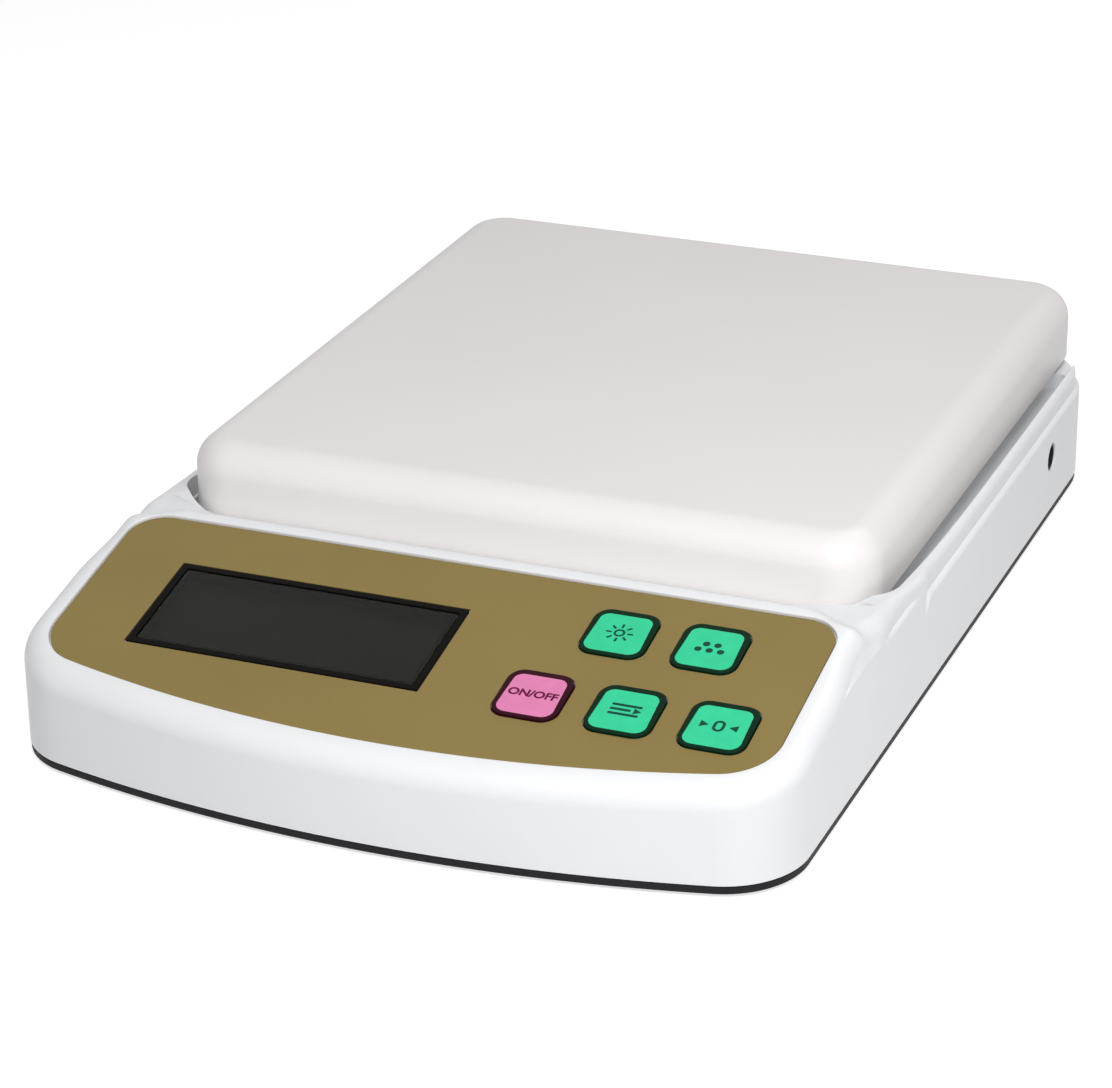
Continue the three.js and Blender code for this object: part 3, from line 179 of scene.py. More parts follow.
def both_sides(right):
    return right + [(-x, y, -dx, dy) for x, y, dx, dy in reversed(right)]


def bowed_edge(half, front, rear, bow, near_corner, far_corner, stations=()):
    """The edge of a plate with a bowed front, round corners and extra places along its sides."""
    bow_steps, near_steps, far_steps = 23, 18, 16
    corner_x = half - near_corner
    reach = bow - near_corner
    turn = -math.acos(corner_x / reach)
    bow_middle = front + bow
    corner_y = bow_middle - math.sqrt(reach * reach - corner_x * corner_x)
    step = (turn + math.pi / 2) / (bow_steps + 1.5)
    edge = arc(0, bow_middle, bow, step / 2 - math.pi / 2, turn - step, bow_steps)
    edge += arc(corner_x, corner_y, near_corner, turn, 0, near_steps)
    edge += [(half, y, -1, 0) for y in stations
             if corner_y + fit_gap < y < rear - far_corner - fit_gap]
    edge += arc(half - far_corner, rear - far_corner, far_corner, 0, math.pi / 2, far_steps)
    return both_sides(edge)


def round_edge(width, depth, corner, x=0, y=0, steps=8):
    """The edge of a rectangle with round corners."""
    across, along = width / 2 - corner, depth / 2 - corner
    edge = both_sides(arc(across, -along, corner, -math.pi / 2, 0, steps)
                      + arc(across, along, corner, 0, math.pi / 2, steps))
    return [(px + x, py + y, dx, dy) for px, py, dx, dy in edge]


def ring(edge, inset, height):
    """One level of a body; the inset and the height may follow the place along the body."""
    points = []
    for x, y, dx, dy in edge:
        step = inset(y) if callable(inset) else inset
        moved = y + dy * step
        points.append((x + dx * step, moved, height(moved) if callable(height) else height))
    return points


def shape_of(vertices, faces):
    mesh = bpy.data.meshes.new("shape")
    mesh.from_pydata(vertices, [], faces)
    solid = bmesh.new()
    solid.from_mesh(mesh)
    bmesh.ops.recalc_face_normals(solid, faces=solid.faces)
    solid.to_mesh(mesh)
    solid.free()
    shape = bpy.data.objects.new("shape", mesh)
    bpy.context.scene.collection.objects.link(shape)
    return shape


def stack(rings, strips=False):
    """A body through levels of as many points each, closed by one face or by strips across it."""
    count = len(rings[0])
    vertices = [point for level in rings for point in level]
    faces = []
    for level in range(len(rings) - 1):
        base = level * count
        for i in range(count):
            j = (i + 1) % count
            faces.append((base + i, base + j, base + count + j, base + count + i))
    for base in (0, (len(rings) - 1) * count):
        if strips:
            faces += [(base + i, base + i + 1, base + count - 2 - i, base + count - 1 - i)
                      for i in range(count // 2 - 1)]
        else:
            faces.append(tuple(range(base, base + count)))
    return shape_of(vertices, faces)


def plate(edge, low, high, soft_low=0, soft_high=0, steps=3):
    """A flat plate inside an edge, with its lower and upper rims rounded by the soft radii."""
    rings = []
    for radius, base, way in ((soft_low, low, 1), (soft_high, high, -1)):
        turns = range(steps + 1) if radius else [steps]
        curve = [(math.pi / 2) * i / steps for i in turns]
        if way < 0:
            curve.reverse()
        rings += [ring(edge, radius * (1 - math.sin(turn)), base + way * radius * (1 - math.cos(turn)))
                  for turn in curve]
    return stack(rings)


def turned(profile, x=0, y=0, sides=48):
    """A body turned about an upright axis, from its radius and height at each level."""
    edge = [(math.cos(a), math.sin(a)) for a in (2 * math.pi * i / sides for i in range(sides))]
    return stack([[(x + r * cx, y + r * cy, z) for cx, cy in edge] for r, z in profile])


def rod(radius, low, high, x=0, y=0, sides=48):
    return turned([(radius, low), (radius, high)], x, y, sides)


def block(low, high, soft=0):
    """A box between two corners, with its edges rounded by the soft radius."""
    (x0, y0, z0), (x1, y1, z1) = low, high
    corners = [(x, y, z) for z in (z0, z1) for x, y in ((x0, y0), (x1, y0), (x1, y1), (x0, y1))]
    sides = [(0, 3, 2, 1), (4, 5, 6, 7), (0, 1, 5, 4), (1, 2, 6, 5), (2, 3, 7, 6), (3, 0, 4, 7)]
    shape = shape_of(corners, sides)
    if soft:
        solid = bmesh.new()
        solid.from_mesh(shape.data)
        bmesh.ops.bevel(solid, geom=solid.edges[:], offset=soft, segments=2, affect="EDGES")
        solid.to_mesh(shape.data)
        solid.free()
    return shape


def box(x, y, half_x, half_y, low, high, soft=0):
    """A block about an upright middle line."""
    return block((x - half_x, y - half_y, low), (x + half_x, y + half_y, high), soft)


def settled(shape):
    """Turns a shape with its modifiers into a plain mesh."""
    bpy.context.view_layer.update()
    mesh = bpy.data.meshes.new_from_object(
        shape.evaluated_get(bpy.context.evaluated_depsgraph_get()))
    shape.modifiers.clear()
    shape.data = mesh
    return shape


def combined(operation, body, others):
    for other in others:
        step = body.modifiers.new(operation, "BOOLEAN")
        step.operation = operation
        step.solver = "MANIFOLD"
        step.object = other
    settled(body)
    for other in others:
        bpy.data.objects.remove(other)
    return body


def joined(body, *others):
    return combined("UNION", body, others)


def cut(body, *tools):
    return combined("DIFFERENCE", body, tools)


def loose(*shapes):
    """Several shapes that don't touch, as one shape."""
    solid = bmesh.new()
    for shape in shapes:
        solid.from_mesh(shape.data)
        if shape is not shapes[0]:
            bpy.data.objects.remove(shape)
    solid.to_mesh(shapes[0].data)
    solid.free()
    return shapes[0]


def rods(radius, low, high, places, sides=48):
    """Upright rods of one size, one at each place, as one shape."""
    return loose(*[rod(radius, low, high, x, y, sides) for x, y in places])


def fitted(shape, name, body, finish, slot, *nodes, turn=None, crease=38):
    """Shades a shape, brings it to its size and place in metres, and lets it ride on its body."""
    if turn:
        shape.data.transform(turn)
    shape.data.shade_smooth()
    shape.data.set_sharp_from_angle(angle=math.radians(crease))
    even = shape.modifiers.new("even", "WEIGHTED_NORMAL")
    even.keep_sharp = True
    settled(shape)
    shape.data.transform(Matrix.Scale(mm, 4))
    shape.name = shape.data.name = name
    shape.data.materials.clear()
    shape.data.materials.append(finish)
    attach(shape, body)
    if nodes:
        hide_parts(*nodes)
    return shape


def finish_of(name, colour, roughness, metallic=0, specular=0.5, mottle=0.05, mottle_size=18,
              grain=0.012, grain_size=0.35, sheen_change=0.05, stretch=(1, 1, 1)):
    """A finish whose colour and gloss wander a little, over a fine grain that stands proud of it."""
    finish = bpy.data.materials.new(name)
    finish.use_nodes = True
    nodes, links = finish.node_tree.nodes, finish.node_tree.links
    shader = nodes["Principled BSDF"]
    set_inputs(shader, Metallic=metallic, Specular_IOR_Level=specular)
    where = nodes.new("ShaderNodeTexCoord")
    stretched = nodes.new("ShaderNodeMapping")
    set_inputs(stretched, Scale=stretch)
    links.new(where.outputs["Object"], stretched.inputs["Vector"])

    def noise(size, detail):
        texture = nodes.new("ShaderNodeTexNoise")
        set_inputs(texture, Scale=1 / (size * mm), Detail=detail)
        links.new(stretched.outputs["Vector"], texture.inputs["Vector"])
        return texture.outputs["Fac"]

    def ranged(value, low, high):
        spread = nodes.new("ShaderNodeMapRange")
        set_inputs(spread, From_Min=0.3, From_Max=0.7, To_Min=low, To_Max=high)
        links.new(value, spread.inputs["Value"])
        return spread.outputs["Result"]

    clouds = noise(mottle_size, 3)
    tint = nodes.new("ShaderNodeMix")
    tint.data_type = "RGBA"
    set_inputs(tint, A=(*[c * (1 - mottle) for c in colour], 1),
               B=(*[min(c * (1 + mottle / 2), 1) for c in colour], 1))
    links.new(ranged(clouds, 0, 1), tint.inputs["Factor"])
    links.new(tint.outputs["Result"], shader.inputs["Base Color"])
    fine = noise(grain_size, 2)
    links.new(ranged(fine, roughness - sheen_change, roughness + sheen_change),
              shader.inputs["Roughness"])
    bump = nodes.new("ShaderNodeBump")
    set_inputs(bump, Distance=grain * mm, Strength=1)
    links.new(fine, bump.inputs["Height"])
    links.new(bump.outputs["Normal"], shader.inputs["Normal"])
    return finish


def painted(finish, *nodes):
    """Gives carried-over solids their finish."""
    for node in nodes:
        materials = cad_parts[node].data.materials
        materials.clear()
        materials.append(finish)


tray_grey = finish_of("tray_grey", (0.014, 0.014, 0.016), 0.6, specular=0.15, grain=0.02, grain_size=0.5)


def case_outline(stations):
    return bowed_edge(case_half, case_front, case_rear, case_bow, case_near_corner, case_far_corner, stations)


def drawn_in(edge, inset):
    """The same edge, moved inwards."""
    return [(x + dx * inset, y + dy * inset, dx, dy) for x, y, dx, dy in edge]


tray_edge = case_outline(range(-96, 100, 12))
lip = plate(drawn_in(tray_edge, tray_lip_inset), tray_low, tray_lip_top, lip_soft_low, lip_soft_high)
rim_edge = drawn_in(tray_edge, tray_rim_inset)
rim = plate(rim_edge, rim_low, tray_rim_top, 0, rim_soft)
hollow = stack([ring(rim_edge, tray_rim_thickness, z) for z in (tray_floor_top, tray_rim_top + overrun)])
bay_outer = bay_wall + bay_ledge
bay_low_y, bay_high_y = bay_middle_y - bay_half_y, bay_middle_y + bay_half_y
bay = box(0, bay_middle_y, bay_half_x + bay_outer, bay_half_y + bay_outer, rim_low,
          bay_ceiling + bay_wall, bay_soft)
cell_pad = block((-cell_half, cell_rear - cell_pad_length, seat_base),
                 (cell_half, cell_rear, cell_low - fit_gap), pad_soft)
cradle = box(jack_x, socket_y, jack_length / 2, jack_width / 2, seat_base, jack_underside - fit_gap)
stop_boss = rod(stop_boss_radius, seat_base, tray_floor_top + stop_boss_height, 0, stop_y)
screw_seats = rods(screw_seat_radius, seat_base, tray_floor_top + screw_seat_height,
                   screw_places.values())
tray = joined(cut(joined(lip, rim), hollow), bay, cell_pad, cradle, stop_boss, screw_seats)

bay_room = box(0, bay_middle_y, bay_half_x, bay_half_y, tray_low - overrun, bay_ceiling)
door_room = box(0, bay_middle_y, bay_half_x + bay_ledge, bay_half_y + bay_ledge,
                tray_low - overrun, tray_low + door_recess)
finger_grip = plate(round_edge(grip_width, grip_depth, grip_corner, 0, bay_low_y - bay_ledge),
                    tray_low - overrun, tray_low + grip_height, 0, grip_soft)
hook_slots = loose(*[block((x - hook_slot_half, bay_high_y - fit_gap, tray_floor_top),
                           (x + hook_slot_half, bay_high_y + slot_reach, hook_slot_top)) for x in hook_x])
tab_slots = loose(*[block((bay_half_x - fit_gap, y - tab_slot_half, tab_slot_low),
                          (bay_half_x + slot_reach, y + tab_slot_half, tab_slot_top)) for y in row_y])


def bored(places, radius, depth):
    """Blind holes in the tray's underside."""
    return rods(radius, tray_low - overrun, tray_low + depth, places)


screw_wells = bored(screw_places.values(), radius=3.1, depth=2.2)
screw_holes = bored(screw_places.values(), radius=1.75, depth=11)
foot_recesses = bored(foot_places.values(), radius=6.8, depth=1)
bolt_wells = bored(bolt_places, radius=4.1, depth=1.8)
bolt_holes = bored(bolt_places, radius=2.5, depth=10)
stop_hole = rod(1.7, tray_low + fit_gap, tray_low + 10, 0, stop_y)
tray = cut(tray, bay_room, door_room, finger_grip, hook_slots, tab_slots, screw_wells, screw_holes,
           foot_recesses, bolt_wells, loose(bolt_holes, stop_hole))
fitted(tray, "tray_moulding", "case", tray_grey, "tray_dark", "base_tray")

# Feet
# Four black rubber pads, dished underneath so that they hold on to a smooth table. Each is pressed
# into a round recess in the tray.
foot_radius, foot_top, foot_edge, foot_dish = 6.5, tray_low + 0.7, 0.6, 0.35
foot_profile = [(0.4, foot_dish), (foot_radius - 2.4, foot_dish), (foot_radius - 2.1, 0.05),
                (foot_radius - 1.9, 0), (foot_radius - foot_edge, 0),
                (foot_radius - foot_edge / 3, foot_edge / 3), (foot_radius, foot_edge),
                (foot_radius, foot_top - 0.2), (foot_radius - 0.2, foot_top), (0.4, foot_top)]
rubber_black = finish_of("rubber_black", (0.022, 0.023, 0.026), 0.8, specular=0.3, mottle=0.15,
                         mottle_size=3, grain=0.03, grain_size=0.4)
for name, (x, y) in foot_places.items():
    fitted(turned(foot_profile, x, y), "rubber_foot_" + name, "case", rubber_black, "foot_rubber",
           "foot_" + name)

# Case screws
# Zinc plated pan-head screws with a cross in the head, driven up through the tray into the bosses of
# the case.
screw_low = tray_low + 0.3
screw_profile = [(1.9, 0), (2.5, 0.15), (2.8, 0.6), (2.8, 1.6), (1.45, 1.6), (1.45, 12.7), (0.4, 14)]
cross_half, cross_reach, cross_depth = 0.275, 1.6, 1.1
zinc = finish_of("zinc", (0.5, 0.51, 0.52), 0.35, metallic=1, mottle=0.12, mottle_size=1.5,
                 grain=0.006, grain_size=0.15)
for name, (x, y) in screw_places.items():
    screw = turned([(radius, screw_low + z) for radius, z in screw_profile], x, y, 32)
    for half_x, half_y in ((cross_half, cross_reach), (cross_reach, cross_half)):
        screw = cut(screw, box(x, y, half_x, half_y, screw_low - 1, screw_low + cross_depth))
    fitted(screw, "pan_head_screw_" + name, "case", zinc, "screw_steel", "case_screw_" + name)

# Load cell
# A milled aluminium bar with strain gauges under white silicone, bolted to the tray at the rear
# and to the sheet-metal spreader at the front. A stop screw stands under its free end.
painted(finish_of("milled_aluminium", (0.62, 0.63, 0.65), 0.38, metallic=1, mottle=0.08, mottle_size=6,
                  grain=0.004, grain_size=0.5, stretch=(1, 0.05, 1)), "load_cell")
painted(finish_of("rolled_aluminium", (0.42, 0.43, 0.45), 0.42, metallic=1, mottle=0.1, mottle_size=10,
                  grain=0.004, grain_size=0.4, stretch=(0.08, 1, 1)), "platform_spreader")
painted(finish_of("silicone_white", (0.8, 0.8, 0.77), 0.7, mottle=0.08, mottle_size=4,
                  grain=0.06, grain_size=2), "gauge_potting")
painted(zinc, "cell_bolt_free_1", "cell_bolt_free_2", "cell_bolt_fixed_1", "cell_bolt_fixed_2",
        "overload_stop")

# Batteries
# Two AA cells lying side by side, each a steel can in a shrunk plastic sleeve with a bare seat round
# its button and a copper-coloured band at the plus end.
battery_z, battery_shift = tray_floor_top + 7.2, 1.5
battery_rows = {"front": (row_y[0], 1), "rear": (row_y[1], -1)}
can_profile = [(5.6, -25.25), (5.9, -25.1), (6.1, -24.7), (6.95, -24.4), (7.1, -24), (7.1, 8), (7.1, 8.4),
               (7.1, 22.9), (6.9, 23.4), (6.3, 23.75), (5.6, 23.8), (5.4, 23.6), (3.1, 23.6), (2.9, 23.9),
               (2.7, 24.3), (2.7, 25), (2.4, 25.25)]
bare_end, band_start, bare_start = -24.4, 8.2, 23.7
sleeve_blue = finish_of("sleeve_blue", (0.03, 0.115, 0.26), 0.28, mottle=0.06, grain=0.003)
sleeve_copper = finish_of("sleeve_copper", (0.62, 0.3, 0.13), 0.3, metallic=0.7, mottle=0.06, grain=0.003)
nickel = finish_of("nickel", (0.6, 0.59, 0.57), 0.25, metallic=1, mottle=0.1, mottle_size=2,
                   grain=0.004, grain_size=0.2)


def laid(shape, way, x, y, z):
    """Lays an upright shape down along X, with its top end to the right or the left."""
    shape.data.transform(Matrix.Translation((x, y, z)) @ Matrix.Rotation(way * math.pi / 2, 4, "Y"))
    return shape


for name, (y, way) in battery_rows.items():
    can = fitted(laid(turned(can_profile), way, way * battery_shift, y, battery_z), "aa_cell_" + name,
                 "case", sleeve_blue, "battery_sleeve", "battery_" + name)
    can.data.materials.append(sleeve_copper)
    can.data.materials.append(nickel)
    for face in can.data.polygons:
        along = way * face.center.x / mm - battery_shift
        if along > bare_start or along < bare_end:
            face.material_index = 2
        elif along > band_start:
            face.material_index = 1

# Battery contacts
# Nickel-plated strips on the bay's end walls, with a coiled wire spring for each flat end and a
# pressed button for each plus end. Two of them reach through the wall to their leads.
contact_half_y, contact_low, contact_high = 5, battery_z - 5.5, battery_z + 5.5
contact_inner, contact_outer, contact_soft = 27.85, 28.25, 0.08
tab_end, tab_half, tab_root = 33.75, 1.5, 0.2
coil_turns, coil_wire, coil_base, coil_tip, coil_end = 3.5, 0.32, 3.4, 2.3, 3.9
coil_steps, coil_sides, flat_share = 84, 8, 0.12


def coil(side, y):
    """A conical wire spring that stands on a contact's inner face."""
    points = []
    for i in range(coil_steps + 1):
        share = i / coil_steps
        angle = 2 * math.pi * coil_turns * share
        radius = coil_base + (coil_tip - coil_base) * share
        climb = min(max((share - flat_share) / (1 - 2 * flat_share), 0), 1)
        height = coil_wire / 2 + (coil_end - coil_wire) * climb
        points.append(Vector((side * (contact_inner - height), y + radius * math.cos(angle),
                              battery_z + radius * math.sin(angle))))
    rings = []
    for i, point in enumerate(points):
        along = (points[min(i + 1, coil_steps)] - points[max(i - 1, 0)]).normalized()
        across = along.cross(Vector((1, 0, 0))).normalized()
        rise = across.cross(along)
        rings.append([tuple(point + coil_wire * (math.cos(a) * across + math.sin(a) * rise))
                      for a in (2 * math.pi * k / coil_sides for k in range(coil_sides))])
    return stack(rings)


def button(side, y):
    dome = turned([(2.1, -0.1), (2, 0.3), (1.6, 0.65), (1, 0.8)], sides=32)
    return laid(dome, -side, side * contact_inner, y, battery_z)


def strip(side, y0, y1):
    low_x, high_x = sorted((side * contact_inner, side * contact_outer))
    return block((low_x, y0 - contact_half_y, contact_low), (high_x, y1 + contact_half_y, contact_high),
                 contact_soft)


def tab(y):
    return block((contact_inner + tab_root, y - tab_half, battery_z - tab_half),
                 (tab_end, y + tab_half, battery_z + tab_half))


front_y, rear_y = row_y
contacts = {
    "positive": joined(strip(1, front_y, front_y), tab(front_y), button(1, front_y)),
    "negative": joined(strip(1, rear_y, rear_y), tab(rear_y), coil(1, rear_y)),
    "link": joined(strip(-1, front_y, rear_y), coil(-1, front_y), button(-1, rear_y)),
}
for name, contact in contacts.items():
    fitted(contact, "battery_contact_" + name, "case", nickel, "contact_nickel", "contact_" + name)

# Battery door
# A flat dark leaf that lies flush in the tray, with a ribbed thumb patch at its front edge and two
# hooks that reach over the tray's floor at its rear edge.
door_half_x, door_overlap, leaf_thickness, leaf_corner = 29.65, 1.1, 1.8, 1
door_low_y, door_high_y = bay_low_y - door_overlap, bay_high_y + door_overlap
groove_count, groove_start, groove_pitch = 6, 2.5, 1.4
groove_reach, groove_half, groove_depth = 8, 0.35, 0.35
hook_half, hook_top = 3.5, tray_low + 3.5
leaf_soft_low, leaf_soft_high = 0.25, 0.15
leaf_edge = round_edge(2 * door_half_x, door_high_y - door_low_y, leaf_corner, 0,
                       (door_low_y + door_high_y) / 2)
leaf = plate(leaf_edge, tray_low, tray_low + leaf_thickness, leaf_soft_low, leaf_soft_high)
thumb_grooves = loose(*[box(0, door_low_y + groove_start + groove_pitch * i, groove_reach, groove_half,
                            tray_low - 1, tray_low + groove_depth) for i in range(groove_count)])


def hook_part(start, reach, low):
    """The legs or the noses of the hooks, from inside the leaf's rear edge to their reach beyond it."""
    return loose(*[block((x - hook_half, door_high_y - start, tray_low + low),
                         (x + hook_half, door_high_y + reach, hook_top)) for x in hook_x])


hook_legs = hook_part(start=1.1, reach=0, low=1.5)
hook_noses = hook_part(start=0.3, reach=1.9, low=2.3)
fitted(cut(joined(leaf, hook_legs, hook_noses), thumb_grooves), "door_leaf", "door", tray_grey,
       "tray_dark", "battery_door")

# Power socket
# A black moulded block whose collar reaches into a round hole in the case's right wall, with a bored
# well for the plug and a plated centre pin. It sits in a cradle of the tray.
collar_proud, collar_radius, well_radius = 2.1, 3.15, 2.6
socket_top, socket_soft = 20, 0.3
socket_black = finish_of("socket_black", (0.02, 0.02, 0.022), 0.45, specular=0.15, grain=0.01)
socket_body = box(jack_x, socket_y, jack_length / 2, jack_width / 2, jack_underside, socket_top, socket_soft)


def round_socket(profile, start, sides):
    """A body turned about the socket's axis, from radii and how far out from a start they lie."""
    return laid(turned(profile, sides=sides), 1, start, socket_y, socket_z)


collar = round_socket([(collar_radius, -0.5), (collar_radius, collar_proud - 0.1),
                       (collar_radius - 0.1, collar_proud)], jack_face, 40)
well = round_socket([(well_radius, -9.5), (well_radius, collar_proud - 0.3),
                     (well_radius + 0.2, collar_proud + 0.1), (well_radius + 1, collar_proud + 2)],
                    jack_face, 40)
fitted(cut(joined(socket_body, collar), well), "socket_block", "case", socket_black, "jack_black",
       "power_jack")
pin = round_socket([(1, -9.6), (1, -1.5), (0.75, -1.1), (0.4, -1)], jack_face, 24)
fitted(pin, "socket_pin", "case", nickel, "jack_black")

# Wires
# Thin insulated leads from the battery contacts and the socket, and the load cell's grey cable. They
# lie along the tray's floor and rise to the board.
painted(finish_of("wire_red", (0.42, 0.018, 0.02), 0.4, grain=0.004), "lead_battery_positive",
        "lead_socket_positive")
painted(finish_of("wire_black", (0.02, 0.02, 0.022), 0.4, grain=0.004), "lead_battery_negative",
        "lead_socket_negative")
painted(finish_of("cable_grey", (0.55, 0.56, 0.58), 0.45, grain=0.004), "cable_load_cell")

# Board and display parts
# A green glass-fibre board hangs under the console on four screws. It carries the chip under its
# black blob, five press switches with ivory plungers, and the display's backlight, glass and rubber.
painted(finish_of("solder_mask", (0.02, 0.12, 0.045), 0.35, mottle=0.2, mottle_size=2.5,
                  grain=0.02, grain_size=1.2), "main_board")
painted(finish_of("epoxy_black", (0.012, 0.012, 0.014), 0.2, grain=0.03, grain_size=4), "chip_blob")
painted(zinc, "board_screw_1", "board_screw_2", "board_screw_3", "board_screw_4")
key_names = ["on_off", "mode", "tare", "light", "count"]
painted(socket_black, *["switch_" + name for name in key_names])
painted(finish_of("ivory_plastic", (0.66, 0.6, 0.5), 0.45), *["plunger_" + name for name in key_names])
painted(finish_of("milky_diffuser", (0.75, 0.8, 0.7), 0.5), "backlight_panel")
painted(finish_of("pink_elastomer", (0.6, 0.24, 0.3), 0.6, stretch=(8, 1, 1), mottle=0.3,
                  mottle_size=1), "lcd_connector")
display_grey = finish_of("display_grey", (0.02, 0.021, 0.015), 0.4, mottle=0.2, mottle_size=25,
                         grain=0.002)
painted(display_grey, "lcd_glass")

# Upper case
# One white plastic moulding: a bowed front wall, a sloped console with a shallow recess, a top that
# sweeps down behind its crest, a pocket for the platform that is open at the rear and has a deep
# channel along each side, and side walls with a ledge and a crease.
side_wall, roof_wall = 2.2, 2.6
case_low = tray_lip_top + fit_gap
above_all = 60
corner_steps = 20
console_fillet, shoulder_fillet, least_fillet = 4.5, 1.5, 0.3
step_profile = ((0, -0.5), (0.12, -0.1), (0.45, 0.25), (1, 0.6))
ledge_step, ledge_height, ledge_dip, ledge_start, ledge_blend = 1.1, 24, 4.6, case_front + 101, 6
crease_step, crease_height, crease_start, crease_end = 0.8, 27, case_front + 70, case_front + 104
crease_blend_in, crease_blend_out, crease_to_fillet, ledge_to_crease = 12, 16, 0.8, 1.6
corner_lean, lean_start, lean_end = 1.4, case_front + 43, case_front + 76
lean_blend_in, lean_blend_out, lean_at_crease = 16, 9, 0.35
panel_rear_y, panel_rear_z, panel_tilt = case_front + 64.5, 34.7, math.radians(11.86)
rim_height, crest_run, recess_depth, recess_above = 0.5, 3, 0.6, 8
rim_profile = ((0, -0.25), (0.03, -0.13), (0.12, -0.03), (1.2, 0.15))
shoulder_height, sweep_run = 28.8, 102.5
sweep_shares = [(0, 0), (0.015, 0.14), (0.034, 0.285), (0.059, 0.34), (0.093, 0.377), (0.151, 0.427),
                (0.21, 0.5), (0.278, 0.61), (0.346, 0.71), (0.424, 0.81), (0.512, 0.895), (0.639, 0.953),
                (0.805, 0.989), (1, 1)]
crest_lead, crest_inset, crest_blend, crest_levels = 5, 1, 9.5, 5
crest_reach, crest_flat, crest_fade = 1.2, 1.4, 3
platform_half, platform_front, platform_rear, platform_corner = 78.8, -44.1, 124.4, 11
pocket_margin, pocket_front_margin, pocket_rear_margin = 3.2, 1.4, 13
pocket_floor, pocket_corner, floor_soft, floor_bevel = 26.5, 14, 0.4, 0.12
mouth_steps, side_length = 30, 50
mouth_radius, mouth_gap, flare_turn, flare_count, flare_out, flare_up = 0.5, 0.1, 16, 5, 1.97, 0.35
lip_run, lip_low, lip_high, lip_side_run, lip_side_rise = 10.5, 29.2, 35, 11, 4.5
deck_thickness = 2
channel_floor, channel_width, channel_corner, channel_front, channel_rear = 22.5, 6.5, 3, -36, case_rear - 18
channel_inset, channel_overlap = 0.4, 0.2
platform_middle = (platform_front + platform_rear) / 2
peg_places = [(x, platform_middle + y) for x in (-52, 52) for y in (-52, 52)]
board_screw_places = ((-63.1, -10.9), (-63.1, -45.1), (14, -45.1), (69.1, -10.9))
sheet_half, sheet_run, sheet_bow, sheet_near_corner, sheet_far_corner = 79.2, 58.7, 294.2, 12.2, 7.5
display_x, display_run, display_width, display_depth = -29.3, 28.5, 65.4, 27.7
hole_inset, hole_depth, hole_corner, dark_inset, dark_top = 2.2, 4, 0.5, 2, -recess_depth - 0.05
key_width, key_depth, key_corner = 13.9, 14.8, 3.3
key_places = {"on_off": (26.7, -37.9), "mode": (46.2, -37.9), "tare": (65.7, -37.9),
              "light": (36.255, -14.6), "count": (55.755, -14.6)}
white_plastic = finish_of("white_plastic", (0.8, 0.81, 0.83), 0.36, mottle=0.015, mottle_size=40,
                          grain=0.006, grain_size=0.4)
frame_black = finish_of("frame_black", (0.004, 0.0035, 0.003), 0.4, specular=0.03, grain=0.004)

crest_y = panel_rear_y + crest_run
crest_z = panel_rear_z + crest_run * math.tan(panel_tilt) + rim_height / math.cos(panel_tilt)
on_panel = Matrix.Translation((0, panel_rear_y, panel_rear_z)) @ Matrix.Rotation(panel_tilt, 4, "X")
# Where each run of places along a side starts, its spacing and its count
side_runs = ((case_front + 20, 3, 13), (crest_y - 9, 0.5, 34), (crest_y + 8.75, 0.75, 52),
             (crest_y + 49, 2.5, 3), (crest_y + 58, 8, 13))


def swept(share):
    """How far the top has come down at a share of the sweep, along a smooth curve."""
    last = len(sweep_shares) - 1
    k = next(i for i in range(1, last + 1) if share <= sweep_shares[i][0] or i == last)
    (x0, y0), (x1, y1) = sweep_shares[k - 1], sweep_shares[k]

    def lean(i):
        if i in (0, last):
            return 0
        (xa, ya), (xb, yb) = sweep_shares[i - 1], sweep_shares[i + 1]
        return (yb - ya) / (xb - xa)

    t, width = (share - x0) / (x1 - x0), x1 - x0
    return (y0 * (2 * t ** 3 - 3 * t ** 2 + 1) + lean(k - 1) * width * (t ** 3 - 2 * t ** 2 + t)
            + y1 * (3 * t ** 2 - 2 * t ** 3) + lean(k) * width * (t ** 3 - t ** 2))


def sharp_top(y, lead):
    share = min(max((y - crest_y + lead) / sweep_run, 0), 1)
    return min(crest_z - (crest_y - y) * math.tan(panel_tilt),
               crest_z - (crest_z - shoulder_height) * swept(share))


def top_height(y, lead=0.0):
    """The case's top seen from the side, with the crest eased over and led forward at the corners."""
    reach = min(max(crest_flat - abs(y - crest_y + lead) / crest_fade, 0), 1) * crest_reach
    return (sharp_top(y - reach, lead) + 2 * sharp_top(y, lead) + sharp_top(y + reach, lead)) / 4


def eased(t):
    t = min(max(t, 0), 1)
    return t * t * (3 - 2 * t)


def ledge_share(y):
    return eased((y - ledge_start) / ledge_blend)


def crease_share(y):
    return eased((y - crease_start) / crease_blend_in) * eased((crease_end - y) / crease_blend_out)


def lean_share(y):
    return eased((y - lean_start) / lean_blend_in) * eased((lean_end - y) / lean_blend_out)


